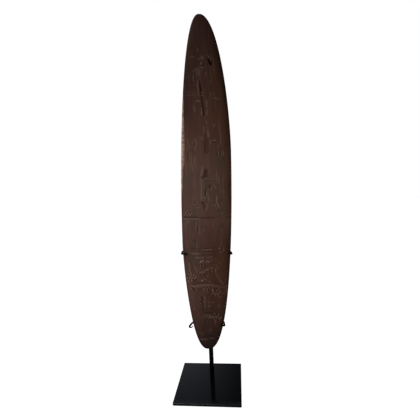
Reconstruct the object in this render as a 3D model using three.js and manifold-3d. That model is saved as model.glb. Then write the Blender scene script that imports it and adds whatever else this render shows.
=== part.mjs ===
// Long carved wooden shield held upright in the rod cradle of its display stand.
// Millimetres, +Z up. The origin is the middle of the base plate on the ground.
// The shield's carved front looks along -Y, turned a little towards +X with the cradle.

import * as THREE from 'three';
import { mergeVertices } from 'three/addons/utils/BufferGeometryUtils.js';
import Module from 'manifold-3d';

const wasm = await Module();
wasm.setup();

// Clearances
const seatGap = 0.3; // between two pieces that touch
const cutOverrun = 2; // how far a cutting solid runs past what it cuts

// Base: a square steel plate on a thin sheet of felt
const baseSide = 152.4;
const baseThickness = 4.8;
const baseCornerRadius = 1.5;
const baseChamfer = 0.5;
const feltThickness = 1;
const feltInset = 0.8;

// Post: a round steel bar, bored from above for the cradle's stem
const postRight = 3.7;
const postBehind = 22.1;
const postDiameter = 11;
const postHeight = 132;
const postChamfer = 0.8;
const stemDiameter = 6.4;
const stemDepth = 80;

// Countersunk screw that holds the post from under the plate
const screwDiameter = 5;
const screwReach = 14;
const screwHeadDiameter = 9.4;
const screwHeadHeight = 2.6;
const screwSlotWidth = 1.2;
const screwSlotDepth = 1;

// Grub screw that clamps the stem from behind
const grubDiameter = 4;
const grubBelowTop = 9;
const grubProud = 0.9;
const grubSocketAcross = 2;
const grubSocketDepth = 1.4;
const grubChamfer = 0.35;

// Cradle: a stem with two crossbars, and a hook in each end of each crossbar
const cradleTurn = THREE.MathUtils.degToRad(7);
const lowerBarAbovePost = 11.2;
const upperBarBelowGrip = 52.7;
const stemAboveBar = 11;
const stemChamfer = 0.8;
const barDiameter = 4.4;
const barNotchDepth = 1;
const lowerBarLength = 44;
const upperBarLength = 84;
const lowerBarTilt = THREE.MathUtils.degToRad(3.4);
const upperBarTilt = THREE.MathUtils.degToRad(3.2);
const wireDiameter = 2.3;
const wireInsert = 12;
const wireBend = 5;
const sleeveWall = 0.35;
const wrapThickness = 1.1;
const wrapLength = 13;
const wrapFromStem = 3;

// Hooks: each runs out of its crossbar, forward past the shield's edge and a little way over
// its front. standOff is the space beside the edge, tuck how far the heel is drawn in behind
// the edge and heel how far it runs forward there (0 where it leaves the bar slanting), flare
// how far the hook leans out past the edge, slack the space before the front, lip how far it
// reaches back over the front, curl how far its tip turns in and dip how far it bows out before
// that. The sleeve stops short of a bare tip.
const hooks = {
  upper_left: {
    side: -1, standOff: 0, tuck: 0, heel: 7, flare: 0.1, slack: 3, lip: 12.5, curl: 1.5, dip: 0,
  },
  upper_right: {
    side: 1, standOff: 0, tuck: 0, heel: 7, flare: 0.1, slack: 0.3, lip: 8, curl: 0.8, dip: 0,
  },
  lower_left: {
    side: -1, standOff: 2.5, tuck: 5.4, heel: 0, flare: 4.7, slack: 10, lip: 8.2, curl: 5, dip: 4.4,
    bareTip: true,
  },
  lower_right: {
    side: 1, standOff: 0, tuck: 0, heel: 7, flare: 0.3, slack: 0.3, lip: 10.7, curl: 1.5, dip: 0,
  },
};

// A bare tip takes up the last curves of a hook's path: a bend and the straights on both sides
const tipCurves = 3;

// Shield: one board, measured along the line from its lower tip to its upper tip
const shieldLength = 777;
const footBelowLowerBar = 63;
const footLeftOfPost = 5.7;
const shieldLean = THREE.MathUtils.degToRad(0.76);
const leftBulge = 54.2;
const rightBulge = 65.4;
const leftWidestShare = 0.331;
const rightWidestShare = 0.609;
const edgeThickness = 12;
const frontCrown = 8;
const backCrown = 3;

// Powers of the outline: how full each edge stays on its way to the tips
const leftPowers = { below: 1.42, above: 1.93 };
const rightPowers = { below: 2.07, above: 1.66 };
const tipPowers = { below: 0.4, above: 0.454 };
const edgeFadePower = 0.25;
const edgeRoundPower = 8;

// Grip: a bridge of the same wood on the back, open from side to side for the fingers
const gripMiddleShare = 0.5;
const gripLength = 196;
const gripWidth = 26;
const gripHeight = 30;
const gripCrest = 3;
const gripRounding = 4;
const fingerLength = 90;
const fingerDepth = 20;
const fingerCorner = 9;
const rootShare = 2.5;
const crestShare = 0.24;
const flareNearShare = 0.4;
const flareFarShare = 0.34;

// How finely round forms are divided, and how near two vertices are one
const stations = 40;
const faceSteps = 12;
const roundSides = 28;
const wireSides = 8;
const wireStep = 2;
const mergeDistance = 1e-4;

// Places worked out from the sizes above
const plateTop = feltThickness + baseThickness;
const postTop = plateTop + postHeight;
const lowerBarZ = postTop + lowerBarAbovePost;
const footZ = lowerBarZ - footBelowLowerBar;
const gripMiddle = gripMiddleShare * shieldLength;
const upperBarZ = footZ + gripMiddle - gripLength / 2 - upperBarBelowGrip;
const stemRadius = stemDiameter / 2;
const barRadius = barDiameter / 2;
const wireRadius = wireDiameter / 2;
const sleeveRadius = wireRadius + seatGap + sleeveWall;
const wrapRadius = barRadius + seatGap + wrapThickness;
const barY = -(stemRadius - barNotchDepth + seatGap + barRadius);
const shieldBackY = barY - wrapRadius - seatGap;
const boreRadius = stemRadius + seatGap;
const stemBottom = postTop - stemDepth;

// Finishes
function finish(color, roughness, metalness) {
  return new THREE.MeshStandardMaterial({ color, roughness, metalness });
}

const finishes = {
  wood: () => finish(0x46332c, 0.62, 0),
  blackSteel: () => finish(0x17181a, 0.42, 0.4),
  plainSteel: () => finish(0x6c6e70, 0.38, 0.9),
  felt: () => finish(0x1c1c1d, 0.95, 0),
  tubing: () => finish(0x121213, 0.5, 0),
};

// Solids: closed meshes that can be joined and cut
function solidOf(geometry) {
  const bare = geometry.clone();
  bare.deleteAttribute('normal');
  bare.deleteAttribute('uv');
  const merged = mergeVertices(bare, mergeDistance);
  return new wasm.Manifold(new wasm.Mesh({
    numProp: 3,
    vertProperties: new Float32Array(merged.attributes.position.array),
    triVerts: new Uint32Array(merged.index.array),
  }));
}

function geometryOf(solid) {
  const mesh = solid.getMesh();
  const geometry = new THREE.BufferGeometry();
  geometry.setAttribute('position', new THREE.BufferAttribute(mesh.vertProperties, 3));
  geometry.setIndex(new THREE.BufferAttribute(mesh.triVerts, 1));
  geometry.computeVertexNormals();
  return geometry;
}

function cut(geometry, ...cutters) {
  const without = (solid, cutter) => solid.subtract(solidOf(cutter));
  return geometryOf(cutters.reduce(without, solidOf(geometry)));
}

function joined(geometry, addition) {
  return geometryOf(solidOf(geometry).add(solidOf(addition)));
}

// A form turned about Z from its radii and heights, listed from the lower end to the upper
function turned(profile, sides = roundSides) {
  const points = profile.map(([radius, height]) => new THREE.Vector2(radius, height));
  return new THREE.LatheGeometry(points, sides).rotateX(Math.PI / 2);
}

function rod(radius, bottom, top, chamfer, sides = roundSides) {
  return turned([
    [0, bottom], [radius - chamfer, bottom], [radius, bottom + chamfer],
    [radius, top - chamfer], [radius - chamfer, top], [0, top],
  ], sides);
}

function named(name, geometry, material) {
  const mesh = new THREE.Mesh(geometry, material);
  mesh.name = name;
  return mesh;
}

// Base plate and felt
function roundedSquare(side, radius) {
  const half = side / 2;
  const inner = half - radius;
  const shape = new THREE.Shape();
  shape.absarc(inner, inner, radius, 0, Math.PI / 2);
  shape.absarc(-inner, inner, radius, Math.PI / 2, Math.PI);
  shape.absarc(-inner, -inner, radius, Math.PI, 1.5 * Math.PI);
  shape.absarc(inner, -inner, radius, 1.5 * Math.PI, 2 * Math.PI);
  return shape;
}

function feltSheet() {
  const side = baseSide - 2 * feltInset;
  return new THREE.ExtrudeGeometry(roundedSquare(side, baseCornerRadius), {
    depth: feltThickness, bevelEnabled: false, curveSegments: 3,
  });
}

function screwCutter() {
  const clear = screwDiameter / 2 + seatGap;
  const headClear = screwHeadDiameter / 2 + seatGap;
  const coneTop = feltThickness + screwHeadHeight + seatGap;
  return turned([
    [0, feltThickness - cutOverrun], [headClear, feltThickness - cutOverrun],
    [headClear, feltThickness + seatGap], [clear, coneTop],
    [clear, plateTop + cutOverrun], [0, plateTop + cutOverrun],
  ]).translate(postRight, postBehind, 0);
}

function basePlate() {
  const plate = new THREE.ExtrudeGeometry(roundedSquare(baseSide, baseCornerRadius), {
    depth: baseThickness - 2 * baseChamfer,
    bevelThickness: baseChamfer,
    bevelSize: baseChamfer,
    bevelOffset: -baseChamfer,
    bevelSegments: 1,
    curveSegments: 3,
  }).translate(0, 0, feltThickness + baseChamfer);
  return cut(plate, screwCutter());
}

function baseScrew() {
  const shank = screwDiameter / 2;
  const head = screwHeadDiameter / 2;
  const bottom = feltThickness + seatGap;
  const screw = turned([
    [0, bottom], [head, bottom], [shank, bottom + screwHeadHeight],
    [shank, plateTop + screwReach], [0, plateTop + screwReach],
  ]);
  const slot = new THREE.BoxGeometry(screwHeadDiameter + cutOverrun, screwSlotWidth, 2 * screwSlotDepth);
  slot.translate(0, 0, bottom);
  return cut(screw, slot).translate(postRight, postBehind, 0);
}

// Post with its tapped foot, its bore and the tapped hole of the grub screw
function grubHeight() {
  return postTop - grubBelowTop;
}

function post() {
  const radius = postDiameter / 2;
  const tapped = screwDiameter / 2 + seatGap;
  const tappedTop = plateTop + screwReach + seatGap;
  const boreFloor = stemBottom - seatGap;
  const bar = turned([
    [0, tappedTop], [tapped, tappedTop], [tapped, plateTop], [radius, plateTop],
    [radius, postTop - postChamfer], [radius - postChamfer, postTop],
    [boreRadius, postTop], [boreRadius, boreFloor], [0, boreFloor],
  ]);
  const hole = rod(grubDiameter / 2 + seatGap, 0, radius + cutOverrun, 0)
    .rotateX(-Math.PI / 2)
    .translate(0, 0, grubHeight());
  return cut(bar, hole).translate(postRight, postBehind, 0);
}

function grubScrew() {
  const radius = grubDiameter / 2;
  const tip = stemRadius + seatGap;
  const end = postDiameter / 2 + grubProud;
  const across = grubSocketAcross / Math.sqrt(3);
  const screw = rod(radius, tip, end, grubChamfer);
  const socket = new THREE.CylinderGeometry(across, across, 2 * grubSocketDepth, 6)
    .rotateX(Math.PI / 2)
    .translate(0, 0, end);
  return cut(screw, socket)
    .rotateX(-Math.PI / 2)
    .translate(postRight, postBehind, grubHeight());
}

// Stem, notched in front so that each crossbar seats in it
function barNotch(height, tilt) {
  return rod(barRadius + seatGap, -stemDiameter, stemDiameter, 0)
    .rotateY(Math.PI / 2)
    .rotateY(tilt)
    .translate(0, barY, height);
}

function stem() {
  const top = upperBarZ + stemAboveBar;
  const bar = rod(stemRadius, stemBottom, top, stemChamfer);
  return cut(bar, barNotch(lowerBarZ, lowerBarTilt), barNotch(upperBarZ, upperBarTilt));
}

// Crossbar: a short tube lying across the stem, open at both ends for the hooks' wires
function crossbar(length) {
  const half = length / 2;
  const bore = wireRadius + seatGap;
  const chamfer = (barRadius - bore) / 3;
  return turned([
    [bore, -half], [barRadius - chamfer, -half], [barRadius, -half + chamfer],
    [barRadius, half - chamfer], [barRadius - chamfer, half], [bore, half], [bore, -half],
  ], wireSides * 2).rotateY(Math.PI / 2);
}

// Felt wound round a crossbar beside the stem, where the shield's back leans
function feltWrap(side) {
  const inner = barRadius + seatGap;
  const near = stemRadius + wrapFromStem;
  return turned([
    [inner, 0], [wrapRadius, 0], [wrapRadius, wrapLength], [inner, wrapLength], [inner, 0],
  ], wireSides * 2).rotateY(Math.PI / 2 * side).translate(side * near, 0, 0);
}

// Outline of the shield: how far an edge stands from the tip-to-tip line at a share of its length
function bulge(side, share) {
  const [most, widest, powers] = side < 0
    ? [leftBulge, leftWidestShare, leftPowers]
    : [rightBulge, rightWidestShare, rightPowers];
  const part = share > widest ? 'above' : 'below';
  const run = share > widest ? (share - widest) / (1 - widest) : (widest - share) / widest;
  return most * (1 - run ** powers[part]) ** tipPowers[part];
}

// Cross-section at a share of the length, with y = 0 at the middle of the back
function section(share) {
  const left = -bulge(-1, share);
  const right = bulge(1, share);
  const half = (right - left) / 2;
  const fullness = 2 * half / (leftBulge + rightBulge);
  const edge = edgeThickness / 2 * fullness ** edgeFadePower;
  const front = frontCrown * fullness;
  const back = backCrown * fullness;
  return { middle: (left + right) / 2, half, edge, front, back, core: -back - edge };
}

// Depth of the front or back face at u, which runs from -1 at the left edge to 1 at the right
function faceDepth({ edge, front, back, core }, u, face) {
  const crown = (face < 0 ? front : back) * (1 - u * u);
  return core + face * (crown + edge * Math.sqrt(1 - Math.abs(u) ** edgeRoundPower));
}

function sectionRing(share) {
  const cross = section(share);
  const ring = [];
  for (let step = 0; step < 2 * faceSteps; step += 1) {
    const u = -Math.cos(Math.PI * step / faceSteps);
    const face = step <= faceSteps ? -1 : 1;
    ring.push(new THREE.Vector3(
      cross.middle + cross.half * u,
      faceDepth(cross, u, face),
      share * shieldLength,
    ));
  }
  return ring;
}

function board() {
  const rings = [];
  for (let station = 1; station < stations; station += 1) {
    rings.push(sectionRing((1 - Math.cos(Math.PI * station / stations)) / 2));
  }
  const around = 2 * faceSteps;
  const points = rings.flat();
  const poles = [rings[0], rings[rings.length - 1]].map((ring, end) => {
    const pole = ring[0].clone().add(ring[faceSteps]).multiplyScalar(0.5);
    pole.z = end * shieldLength;
    return points.push(pole) - 1;
  });
  const faces = [];
  const last = (rings.length - 1) * around;
  for (let a = 0; a < around; a += 1) {
    const b = (a + 1) % around;
    for (let row = 0; row < last; row += around) {
      faces.push(row + a, row + b, row + around + b, row + a, row + around + b, row + around + a);
    }
    faces.push(poles[0], b, a, poles[1], last + a, last + b);
  }
  const geometry = new THREE.BufferGeometry().setFromPoints(points);
  geometry.setIndex(faces);
  return geometry;
}

// Grip drawn from the side, x along the shield and y off its back: a bridge whose two feet
// run down into the board
function gripOutline() {
  const half = gripLength / 2;
  const crest = crestShare * gripLength;
  const near = flareNearShare * gripLength;
  const far = flareFarShare * gripLength;
  const root = -rootShare * gripRounding;
  const finger = fingerLength / 2;
  const inner = finger - fingerCorner;
  const top = fingerDepth - fingerCorner;
  const shape = new THREE.Shape();
  shape.moveTo(finger, root);
  shape.lineTo(half, root);
  shape.lineTo(half, 0);
  shape.bezierCurveTo(near, 0, far, gripHeight, crest, gripHeight);
  shape.quadraticCurveTo(0, gripHeight + gripCrest, -crest, gripHeight);
  shape.bezierCurveTo(-far, gripHeight, -near, 0, -half, 0);
  shape.lineTo(-half, root);
  shape.lineTo(-finger, root);
  shape.lineTo(-finger, top);
  shape.absarc(-inner, top, fingerCorner, Math.PI, Math.PI / 2, true);
  shape.absarc(inner, top, fingerCorner, Math.PI / 2, 0, true);
  return shape;
}

function grip() {
  const across = gripWidth - 2 * gripRounding;
  return new THREE.ExtrudeGeometry(gripOutline(), {
    depth: across,
    bevelThickness: gripRounding,
    bevelSize: gripRounding,
    bevelOffset: -gripRounding,
    bevelSegments: 3,
    curveSegments: 8,
  })
    .translate(0, 0, -across / 2)
    .rotateY(-Math.PI / 2)
    .rotateX(Math.PI)
    .rotateZ(Math.PI);
}

function shieldBody() {
  const { middle } = section(gripMiddleShare);
  return joined(board(), grip().translate(middle, 0, gripMiddle));
}

// Where the standing shield's edge is, beside the post's axis, at a height above the ground
function edgeBesidePost(side, height) {
  const along = (height - footZ) / Math.cos(shieldLean);
  const axis = (height - footZ) * Math.tan(shieldLean) - footLeftOfPost;
  return axis + side * bulge(side, along / shieldLength) / Math.cos(shieldLean);
}

// How deep the shield's front lies behind the crossbar's axis, at an offset inside its edge
function frontAheadOfBar(side, height, inside) {
  const share = (height - footZ) / Math.cos(shieldLean) / shieldLength;
  const cross = section(share);
  const u = 1 - Math.min(inside, cross.half) / cross.half;
  return -faceDepth(cross, u, -1) - shieldBackY + barY;
}

// Corners of a hook's path, from inside its crossbar to its tip, seen from above
function hookCorners(hook, barZ, barTilt, startX) {
  const { side, standOff, tuck, heel, flare, slack, lip, curl, dip } = hook;
  const height = barZ - side * Math.tan(barTilt) * Math.abs(edgeBesidePost(side, barZ));
  const beside = Math.abs(edgeBesidePost(side, height)) + seatGap + sleeveRadius + standOff;
  const depth = frontAheadOfBar(side, height, lip) + seatGap + sleeveRadius + slack;
  const passing = frontAheadOfBar(side, height, 0);
  return [
    [startX, 0],
    [beside - tuck, 0],
    ...(heel ? [[beside - tuck, -heel]] : []),
    [beside, -passing],
    [beside + flare, -depth + dip],
    [beside + flare - lip / 2, -depth + curl / 2 - dip],
    [beside + flare - lip, -depth + curl],
  ].map(([across, forward]) => new THREE.Vector3(side * across, forward, 0));
}

// A path through corners, each rounded over the given length of its two straights
function roundedPath(corners, rounding) {
  const path = new THREE.CurvePath();
  let from = corners[0];
  for (let i = 1; i < corners.length - 1; i += 1) {
    const back = corners[i - 1].clone().sub(corners[i]);
    const on = corners[i + 1].clone().sub(corners[i]);
    const reach = Math.min(rounding, back.length() / 2, on.length() / 2);
    const enter = corners[i].clone().addScaledVector(back.normalize(), reach);
    const leave = corners[i].clone().addScaledVector(on.normalize(), reach);
    path.add(new THREE.LineCurve3(from, enter));
    path.add(new THREE.QuadraticBezierCurve3(enter, corners[i], leave));
    from = leave;
  }
  path.add(new THREE.LineCurve3(from, corners[corners.length - 1]));
  return path;
}

function ringShape(outer, inner) {
  const circle = (radius, Kind) => {
    const points = [];
    for (let step = 0; step < wireSides; step += 1) {
      const angle = 2 * Math.PI * step / wireSides;
      points.push(new THREE.Vector2(radius * Math.cos(angle), radius * Math.sin(angle)));
    }
    return new Kind(points);
  };
  const shape = circle(outer, THREE.Shape);
  if (inner) shape.holes.push(circle(inner, THREE.Path));
  return shape;
}

function swept(shape, path) {
  return new THREE.ExtrudeGeometry(shape, {
    extrudePath: path, steps: Math.ceil(path.getLength() / wireStep), bevelEnabled: false,
  });
}

// The wire and its sleeve follow one path; the sleeve starts where the wire leaves the bar
function hookPath(hook, barZ, barTilt, barLength) {
  return roundedPath(hookCorners(hook, barZ, barTilt, barLength / 2 - wireInsert), wireBend);
}

function hookWire(...place) {
  return swept(ringShape(wireRadius), hookPath(...place));
}

function hookSleeve(hook, barZ, barTilt, barLength) {
  const path = hookPath(hook, barZ, barTilt, barLength);
  if (hook.bareTip) path.curves.splice(-tipCurves);
  const sleeve = swept(ringShape(sleeveRadius, wireRadius + seatGap), path);
  const insideBar = new THREE.BoxGeometry(barLength + 2 * seatGap, barDiameter, barDiameter);
  return cut(sleeve, insideBar);
}

// One level of the cradle, in a group at its crossbar's middle
function cradleLevel(level, barZ, barTilt, barLength) {
  const group = new THREE.Group();
  group.position.set(0, barY, barZ);
  group.rotation.y = barTilt;
  group.add(named(`${level}_crossbar`, crossbar(barLength), finishes.blackSteel()));
  for (const [sideName, side] of [['left', -1], ['right', 1]]) {
    const hook = hooks[`${level}_${sideName}`];
    const place = [hook, barZ, barTilt, barLength];
    group.add(named(`${level}_${sideName}_hook`, hookWire(...place), finishes.blackSteel()));
    group.add(named(`${level}_${sideName}_sleeve`, hookSleeve(...place), finishes.tubing()));
    group.add(named(`${level}_${sideName}_wrap`, feltWrap(side), finishes.felt()));
  }
  return group;
}

function standingShield() {
  const group = new THREE.Group();
  group.position.set(-footLeftOfPost, shieldBackY, footZ);
  group.rotation.y = shieldLean;
  group.add(named('shield_body', shieldBody(), finishes.wood()));
  return group;
}

function cradle() {
  const group = new THREE.Group();
  group.position.set(postRight, postBehind, 0);
  group.rotation.z = cradleTurn;
  group.add(named('stem', stem(), finishes.blackSteel()));
  group.add(cradleLevel('lower', lowerBarZ, lowerBarTilt, lowerBarLength));
  group.add(cradleLevel('upper', upperBarZ, upperBarTilt, upperBarLength));
  group.add(standingShield());
  return group;
}

const shieldOnStand = new THREE.Group();
shieldOnStand.add(named('base_felt', feltSheet(), finishes.felt()));
shieldOnStand.add(named('base_plate', basePlate(), finishes.blackSteel()));
shieldOnStand.add(named('base_screw', baseScrew(), finishes.plainSteel()));
shieldOnStand.add(named('post', post(), finishes.blackSteel()));
shieldOnStand.add(named('grub_screw', grubScrew(), finishes.plainSteel()));
shieldOnStand.add(cradle());

export default shieldOnStand;
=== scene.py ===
"""Looks of the carved wooden shield on its display stand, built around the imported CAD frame.

The object's sizes are millimetres, repeated from the CAD, and turn into metres in its meshes.
Shield millimetres run across the shield (x, 0 on the line from tip to tip), through it
(y, 0 at the middle of its back and negative to its front) and along it (z, 0 at its lower tip).
"""

import math
from collections import namedtuple

import bmesh
import bpy
import numpy as np
from mathutils import Matrix, Vector


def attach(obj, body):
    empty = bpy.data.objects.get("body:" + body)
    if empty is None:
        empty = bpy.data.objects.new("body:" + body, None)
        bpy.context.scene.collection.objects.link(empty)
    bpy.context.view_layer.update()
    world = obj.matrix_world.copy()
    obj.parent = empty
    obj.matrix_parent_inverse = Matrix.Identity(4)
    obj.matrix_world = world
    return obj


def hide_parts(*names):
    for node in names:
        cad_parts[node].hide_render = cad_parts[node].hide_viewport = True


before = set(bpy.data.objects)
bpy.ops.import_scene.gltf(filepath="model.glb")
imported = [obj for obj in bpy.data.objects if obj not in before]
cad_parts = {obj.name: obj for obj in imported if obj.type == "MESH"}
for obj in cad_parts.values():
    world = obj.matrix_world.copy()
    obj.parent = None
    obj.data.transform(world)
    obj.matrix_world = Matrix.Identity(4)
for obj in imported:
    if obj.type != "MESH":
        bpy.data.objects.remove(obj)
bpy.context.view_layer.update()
chance = np.random.default_rng(7)
MM = 0.001

# Stand, as in the CAD
SEAT_GAP = 0.3
BASE_SIDE = 152.4
BASE_THICKNESS = 4.8
BASE_CORNER = 1.5
BASE_CHAMFER = 0.5
FELT_THICKNESS = 1.0
FELT_INSET = 0.8
POST_RIGHT = 3.7
POST_BEHIND = 22.1
POST_RADIUS = 5.5
POST_HEIGHT = 132.0
POST_CHAMFER = 0.8
STEM_RADIUS = 3.2
STEM_DEPTH = 80.0
STEM_CHAMFER = 0.8
STEM_ABOVE_BAR = 11.0
GRUB_RADIUS = 2.0
GRUB_BELOW_TOP = 9.0
GRUB_PROUD = 0.9
GRUB_SOCKET_ACROSS = 2.0
GRUB_SOCKET_DEPTH = 1.4
SCREW_RADIUS = 2.5
SCREW_HEAD_RADIUS = 4.7
SCREW_HEAD_HEIGHT = 2.6
SCREW_REACH = 14.0
SCREW_SLOT_WIDTH = 1.2
SCREW_SLOT_DEPTH = 1.0

# Cradle, as in the CAD. Swell is how much fuller than there each sleeve is drawn
CRADLE_TURN = math.radians(7)
LOWER_BAR_ABOVE_POST = 11.2
UPPER_BAR_BELOW_GRIP = 52.7
BAR_RADIUS = 2.2
BAR_NOTCH = 1.0
BAR_LENGTH = {"lower": 44.0, "upper": 84.0}
BAR_TILT = {"lower": math.radians(3.4), "upper": math.radians(3.2)}
WIRE_RADIUS = 1.15
WIRE_INSERT = 12.0
WIRE_BEND = 5.0
SLEEVE_WALL = 0.35
BARE_TIP = 10.1
WRAP_THICKNESS = 1.1
WRAP_LENGTH = 13.0
WRAP_FROM_STEM = 3.0
Hook = namedtuple("Hook", "side stand_off tuck heel flare slack lip curl dip swell")
HOOKS = {
    "upper_left": Hook(-1, 0, 0, 7, 0.1, 3, 12.5, 1.5, 0, 0.2),
    "upper_right": Hook(1, 0, 0, 7, 0.1, 0.3, 8, 0.8, 0, 0.2),
    "lower_left": Hook(-1, 2.5, 5.4, 0, 4.7, 10, 8.2, 5, 4.4, 0.45),
    "lower_right": Hook(1, 0, 0, 7, 0.3, 0.3, 10.7, 1.5, 0, 0.27),
}

# Shield, as in the CAD
SHIELD_LENGTH = 777.0
FOOT_BELOW_BAR = 63.0
FOOT_LEFT_OF_POST = 5.7
SHIELD_LEAN = math.radians(0.76)
LEFT_BULGE, RIGHT_BULGE = 54.2, 65.4
LEFT_WIDEST, RIGHT_WIDEST = 0.331, 0.609
LEFT_POWERS = (1.42, 1.93)
RIGHT_POWERS = (2.07, 1.66)
TIP_POWERS = (0.4, 0.454)
EDGE_HALF = 6.0
FRONT_CROWN, BACK_CROWN = 8.0, 3.0
EDGE_FADE = 0.25
EDGE_ROUND = 8
GRIP_MIDDLE = 0.5 * SHIELD_LENGTH
GRIP_LENGTH = 196.0
GRIP_WIDTH = 26.0
GRIP_HEIGHT = 30.0
GRIP_CREST = 3.0
FINGER_LENGTH = 90.0
FINGER_DEPTH = 20.0
FINGER_CORNER = 9.0

# Places worked out from the sizes above
PLATE_TOP = FELT_THICKNESS + BASE_THICKNESS
POST_TOP = PLATE_TOP + POST_HEIGHT
BAR_Z = {"lower": POST_TOP + LOWER_BAR_ABOVE_POST}
FOOT_Z = BAR_Z["lower"] - FOOT_BELOW_BAR
BAR_Z["upper"] = FOOT_Z + GRIP_MIDDLE - GRIP_LENGTH / 2 - UPPER_BAR_BELOW_GRIP
SLEEVE_RADIUS = WIRE_RADIUS + SEAT_GAP + SLEEVE_WALL
WRAP_RADIUS = BAR_RADIUS + SEAT_GAP + WRAP_THICKNESS
BAR_Y = -(STEM_RADIUS - BAR_NOTCH + SEAT_GAP + BAR_RADIUS)
SHIELD_BACK_Y = BAR_Y - WRAP_RADIUS - SEAT_GAP
STEM_BOTTOM = POST_TOP - STEM_DEPTH

# Frames of the post, the cradle and the shield in the row frame, in millimetres
POST_PLACE = Matrix.Translation((POST_RIGHT, POST_BEHIND, 0))
CRADLE = POST_PLACE @ Matrix.Rotation(CRADLE_TURN, 4, "Z")
SHIELD = (
    CRADLE
    @ Matrix.Translation((-FOOT_LEFT_OF_POST, SHIELD_BACK_Y, FOOT_Z))
    @ Matrix.Rotation(SHIELD_LEAN, 4, "Y")
)
BACKWARD = Matrix.Rotation(-math.pi / 2, 4, "X")
SIDEWAYS = Matrix.Rotation(math.pi / 2, 4, "Y")


def unit(value):
    return np.clip(value, 0, 1)


def between(value, start, end):
    """0 up to start, 1 from end on. An end below start turns it round."""
    return unit((value - start) / (end - start))


# Outline and section of the shield, for single numbers and for arrays alike
def bulge(side, share):
    most, widest, powers = (
        (LEFT_BULGE, LEFT_WIDEST, LEFT_POWERS) if side < 0
        else (RIGHT_BULGE, RIGHT_WIDEST, RIGHT_POWERS)
    )
    share = np.asarray(share, float)
    above = share > widest
    run = np.where(above, (share - widest) / (1 - widest), (widest - share) / widest)
    power = np.where(above, powers[1], powers[0])
    tip = np.where(above, TIP_POWERS[1], TIP_POWERS[0])
    return most * np.clip(1 - run ** power, 0, None) ** tip


def section(share):
    left, right = -bulge(-1, share), bulge(1, share)
    half = (right - left) / 2
    fullness = 2 * half / (LEFT_BULGE + RIGHT_BULGE)
    return {
        "middle": (left + right) / 2,
        "half": half,
        "edge": EDGE_HALF * fullness ** EDGE_FADE,
        "front": FRONT_CROWN * fullness,
        "back": BACK_CROWN * fullness,
    }


def face_depth(cross, u, face):
    """The depth of the front (face -1) or the back (face 1) at a share u of the half width."""
    core = -cross["back"] - cross["edge"]
    crown = np.where(face < 0, cross["front"], cross["back"]) * (1 - u * u)
    return core + face * (crown + cross["edge"] * np.sqrt(unit(1 - np.abs(u) ** EDGE_ROUND)))


# Fields of the carved front on an even grid of shield millimetres: relief is the height in
# millimetres, pale the dust and wear in a cut together with a painted highlight, dark the painted shade
# in cuts and cracks
FIELD_STEP = 0.5
FIELD_LEFT, FIELD_RIGHT = -60.0, 72.0
FIELD_WIDE = int((FIELD_RIGHT - FIELD_LEFT) / FIELD_STEP)
FIELD_HIGH = int(SHIELD_LENGTH / FIELD_STEP) + 1
relief = np.zeros((FIELD_HIGH, FIELD_WIDE), np.float32)
pale = np.zeros_like(relief)
dark = np.zeros_like(relief)


def window(low_x, high_x, low_z, high_z):
    """Slices of the fields round a box, with the places of their cells."""
    a = max(int((low_x - FIELD_LEFT) / FIELD_STEP), 0)
    b = min(int((high_x - FIELD_LEFT) / FIELD_STEP) + 2, FIELD_WIDE)
    c = max(int(low_z / FIELD_STEP), 0)
    d = min(int(high_z / FIELD_STEP) + 2, FIELD_HIGH)
    x = FIELD_LEFT + FIELD_STEP * np.arange(a, b)[None, :]
    z = FIELD_STEP * np.arange(c, d)[:, None]
    return (slice(c, d), slice(a, b)), x, z


def cut_cells(cells, height, tint, light, shade):
    """Lowers the cells to a height and lays a tone over them: a later cut hides an earlier one."""
    relief[cells] = np.minimum(relief[cells], height)
    pale[cells] = pale[cells] * (1 - tint) + light * tint
    dark[cells] = dark[cells] * (1 - tint) + shade * tint


def wobbled(points, wobble, step=4.0):
    """The points of a hand-cut line: more of them along the way, each a little off it."""
    out = []
    for (x0, z0), (x1, z1) in zip(points, points[1:]):
        count = max(int(math.hypot(x1 - x0, z1 - z0) / step), 1)
        for i in range(count):
            t = i / count
            out.append((x0 + (x1 - x0) * t, z0 + (z1 - z0) * t))
    out.append(points[-1])
    return [(x + chance.normal(0, wobble), z + chance.normal(0, wobble)) for x, z in out]


def stroke(points, width, depth, light=0.0, shade=0.0, wobble=0.2, taper=3.0):
    """Cuts a groove along points (x, z, x, z and so on) that narrows and rises over its taper."""
    path = wobbled(list(zip(points[::2], points[1::2])), wobble)
    reach = width * 1.3
    xs, zs = zip(*path)
    cells, x, z = window(min(xs) - reach, max(xs) + reach, min(zs) - reach, max(zs) + reach)
    total = sum(math.dist(a, b) for a, b in zip(path, path[1:]))
    gone = 0.0
    nearest = np.full(np.broadcast(x, z).shape, 1e9)
    ends = np.ones_like(nearest)
    for (x0, z0), (x1, z1) in zip(path, path[1:]):
        run = max(math.hypot(x1 - x0, z1 - z0), 1e-6)
        t = unit(((x - x0) * (x1 - x0) + (z - z0) * (z1 - z0)) / run ** 2)
        off = np.hypot(x - x0 - t * (x1 - x0), z - z0 - t * (z1 - z0))
        along = gone + t * run
        fade = np.clip(np.minimum(along, total - along) / max(min(taper, total / 2), 0.1), 0.3, 1)
        closer = off < nearest
        nearest = np.where(closer, off, nearest)
        ends = np.where(closer, fade, ends)
        gone += run
    groove = unit(1 - nearest / (width / 2 * ends))
    tint = np.exp(-((nearest / (width * 0.45)) ** 2)) * ends
    cut_cells(cells, -depth * ends * groove, tint, light, shade)


def lit(light, width, *cuts):
    """Straight cuts (x, z, x, z) that hold pale dust, with a painted highlight."""
    for cut in cuts:
        stroke(cut, width, 0.5, light)


def deep(shade, width, *cuts):
    """Straight cuts (x, z, x, z) that stay in shadow."""
    for cut in cuts:
        stroke(cut, width, 0.8, 0, shade)


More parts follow.
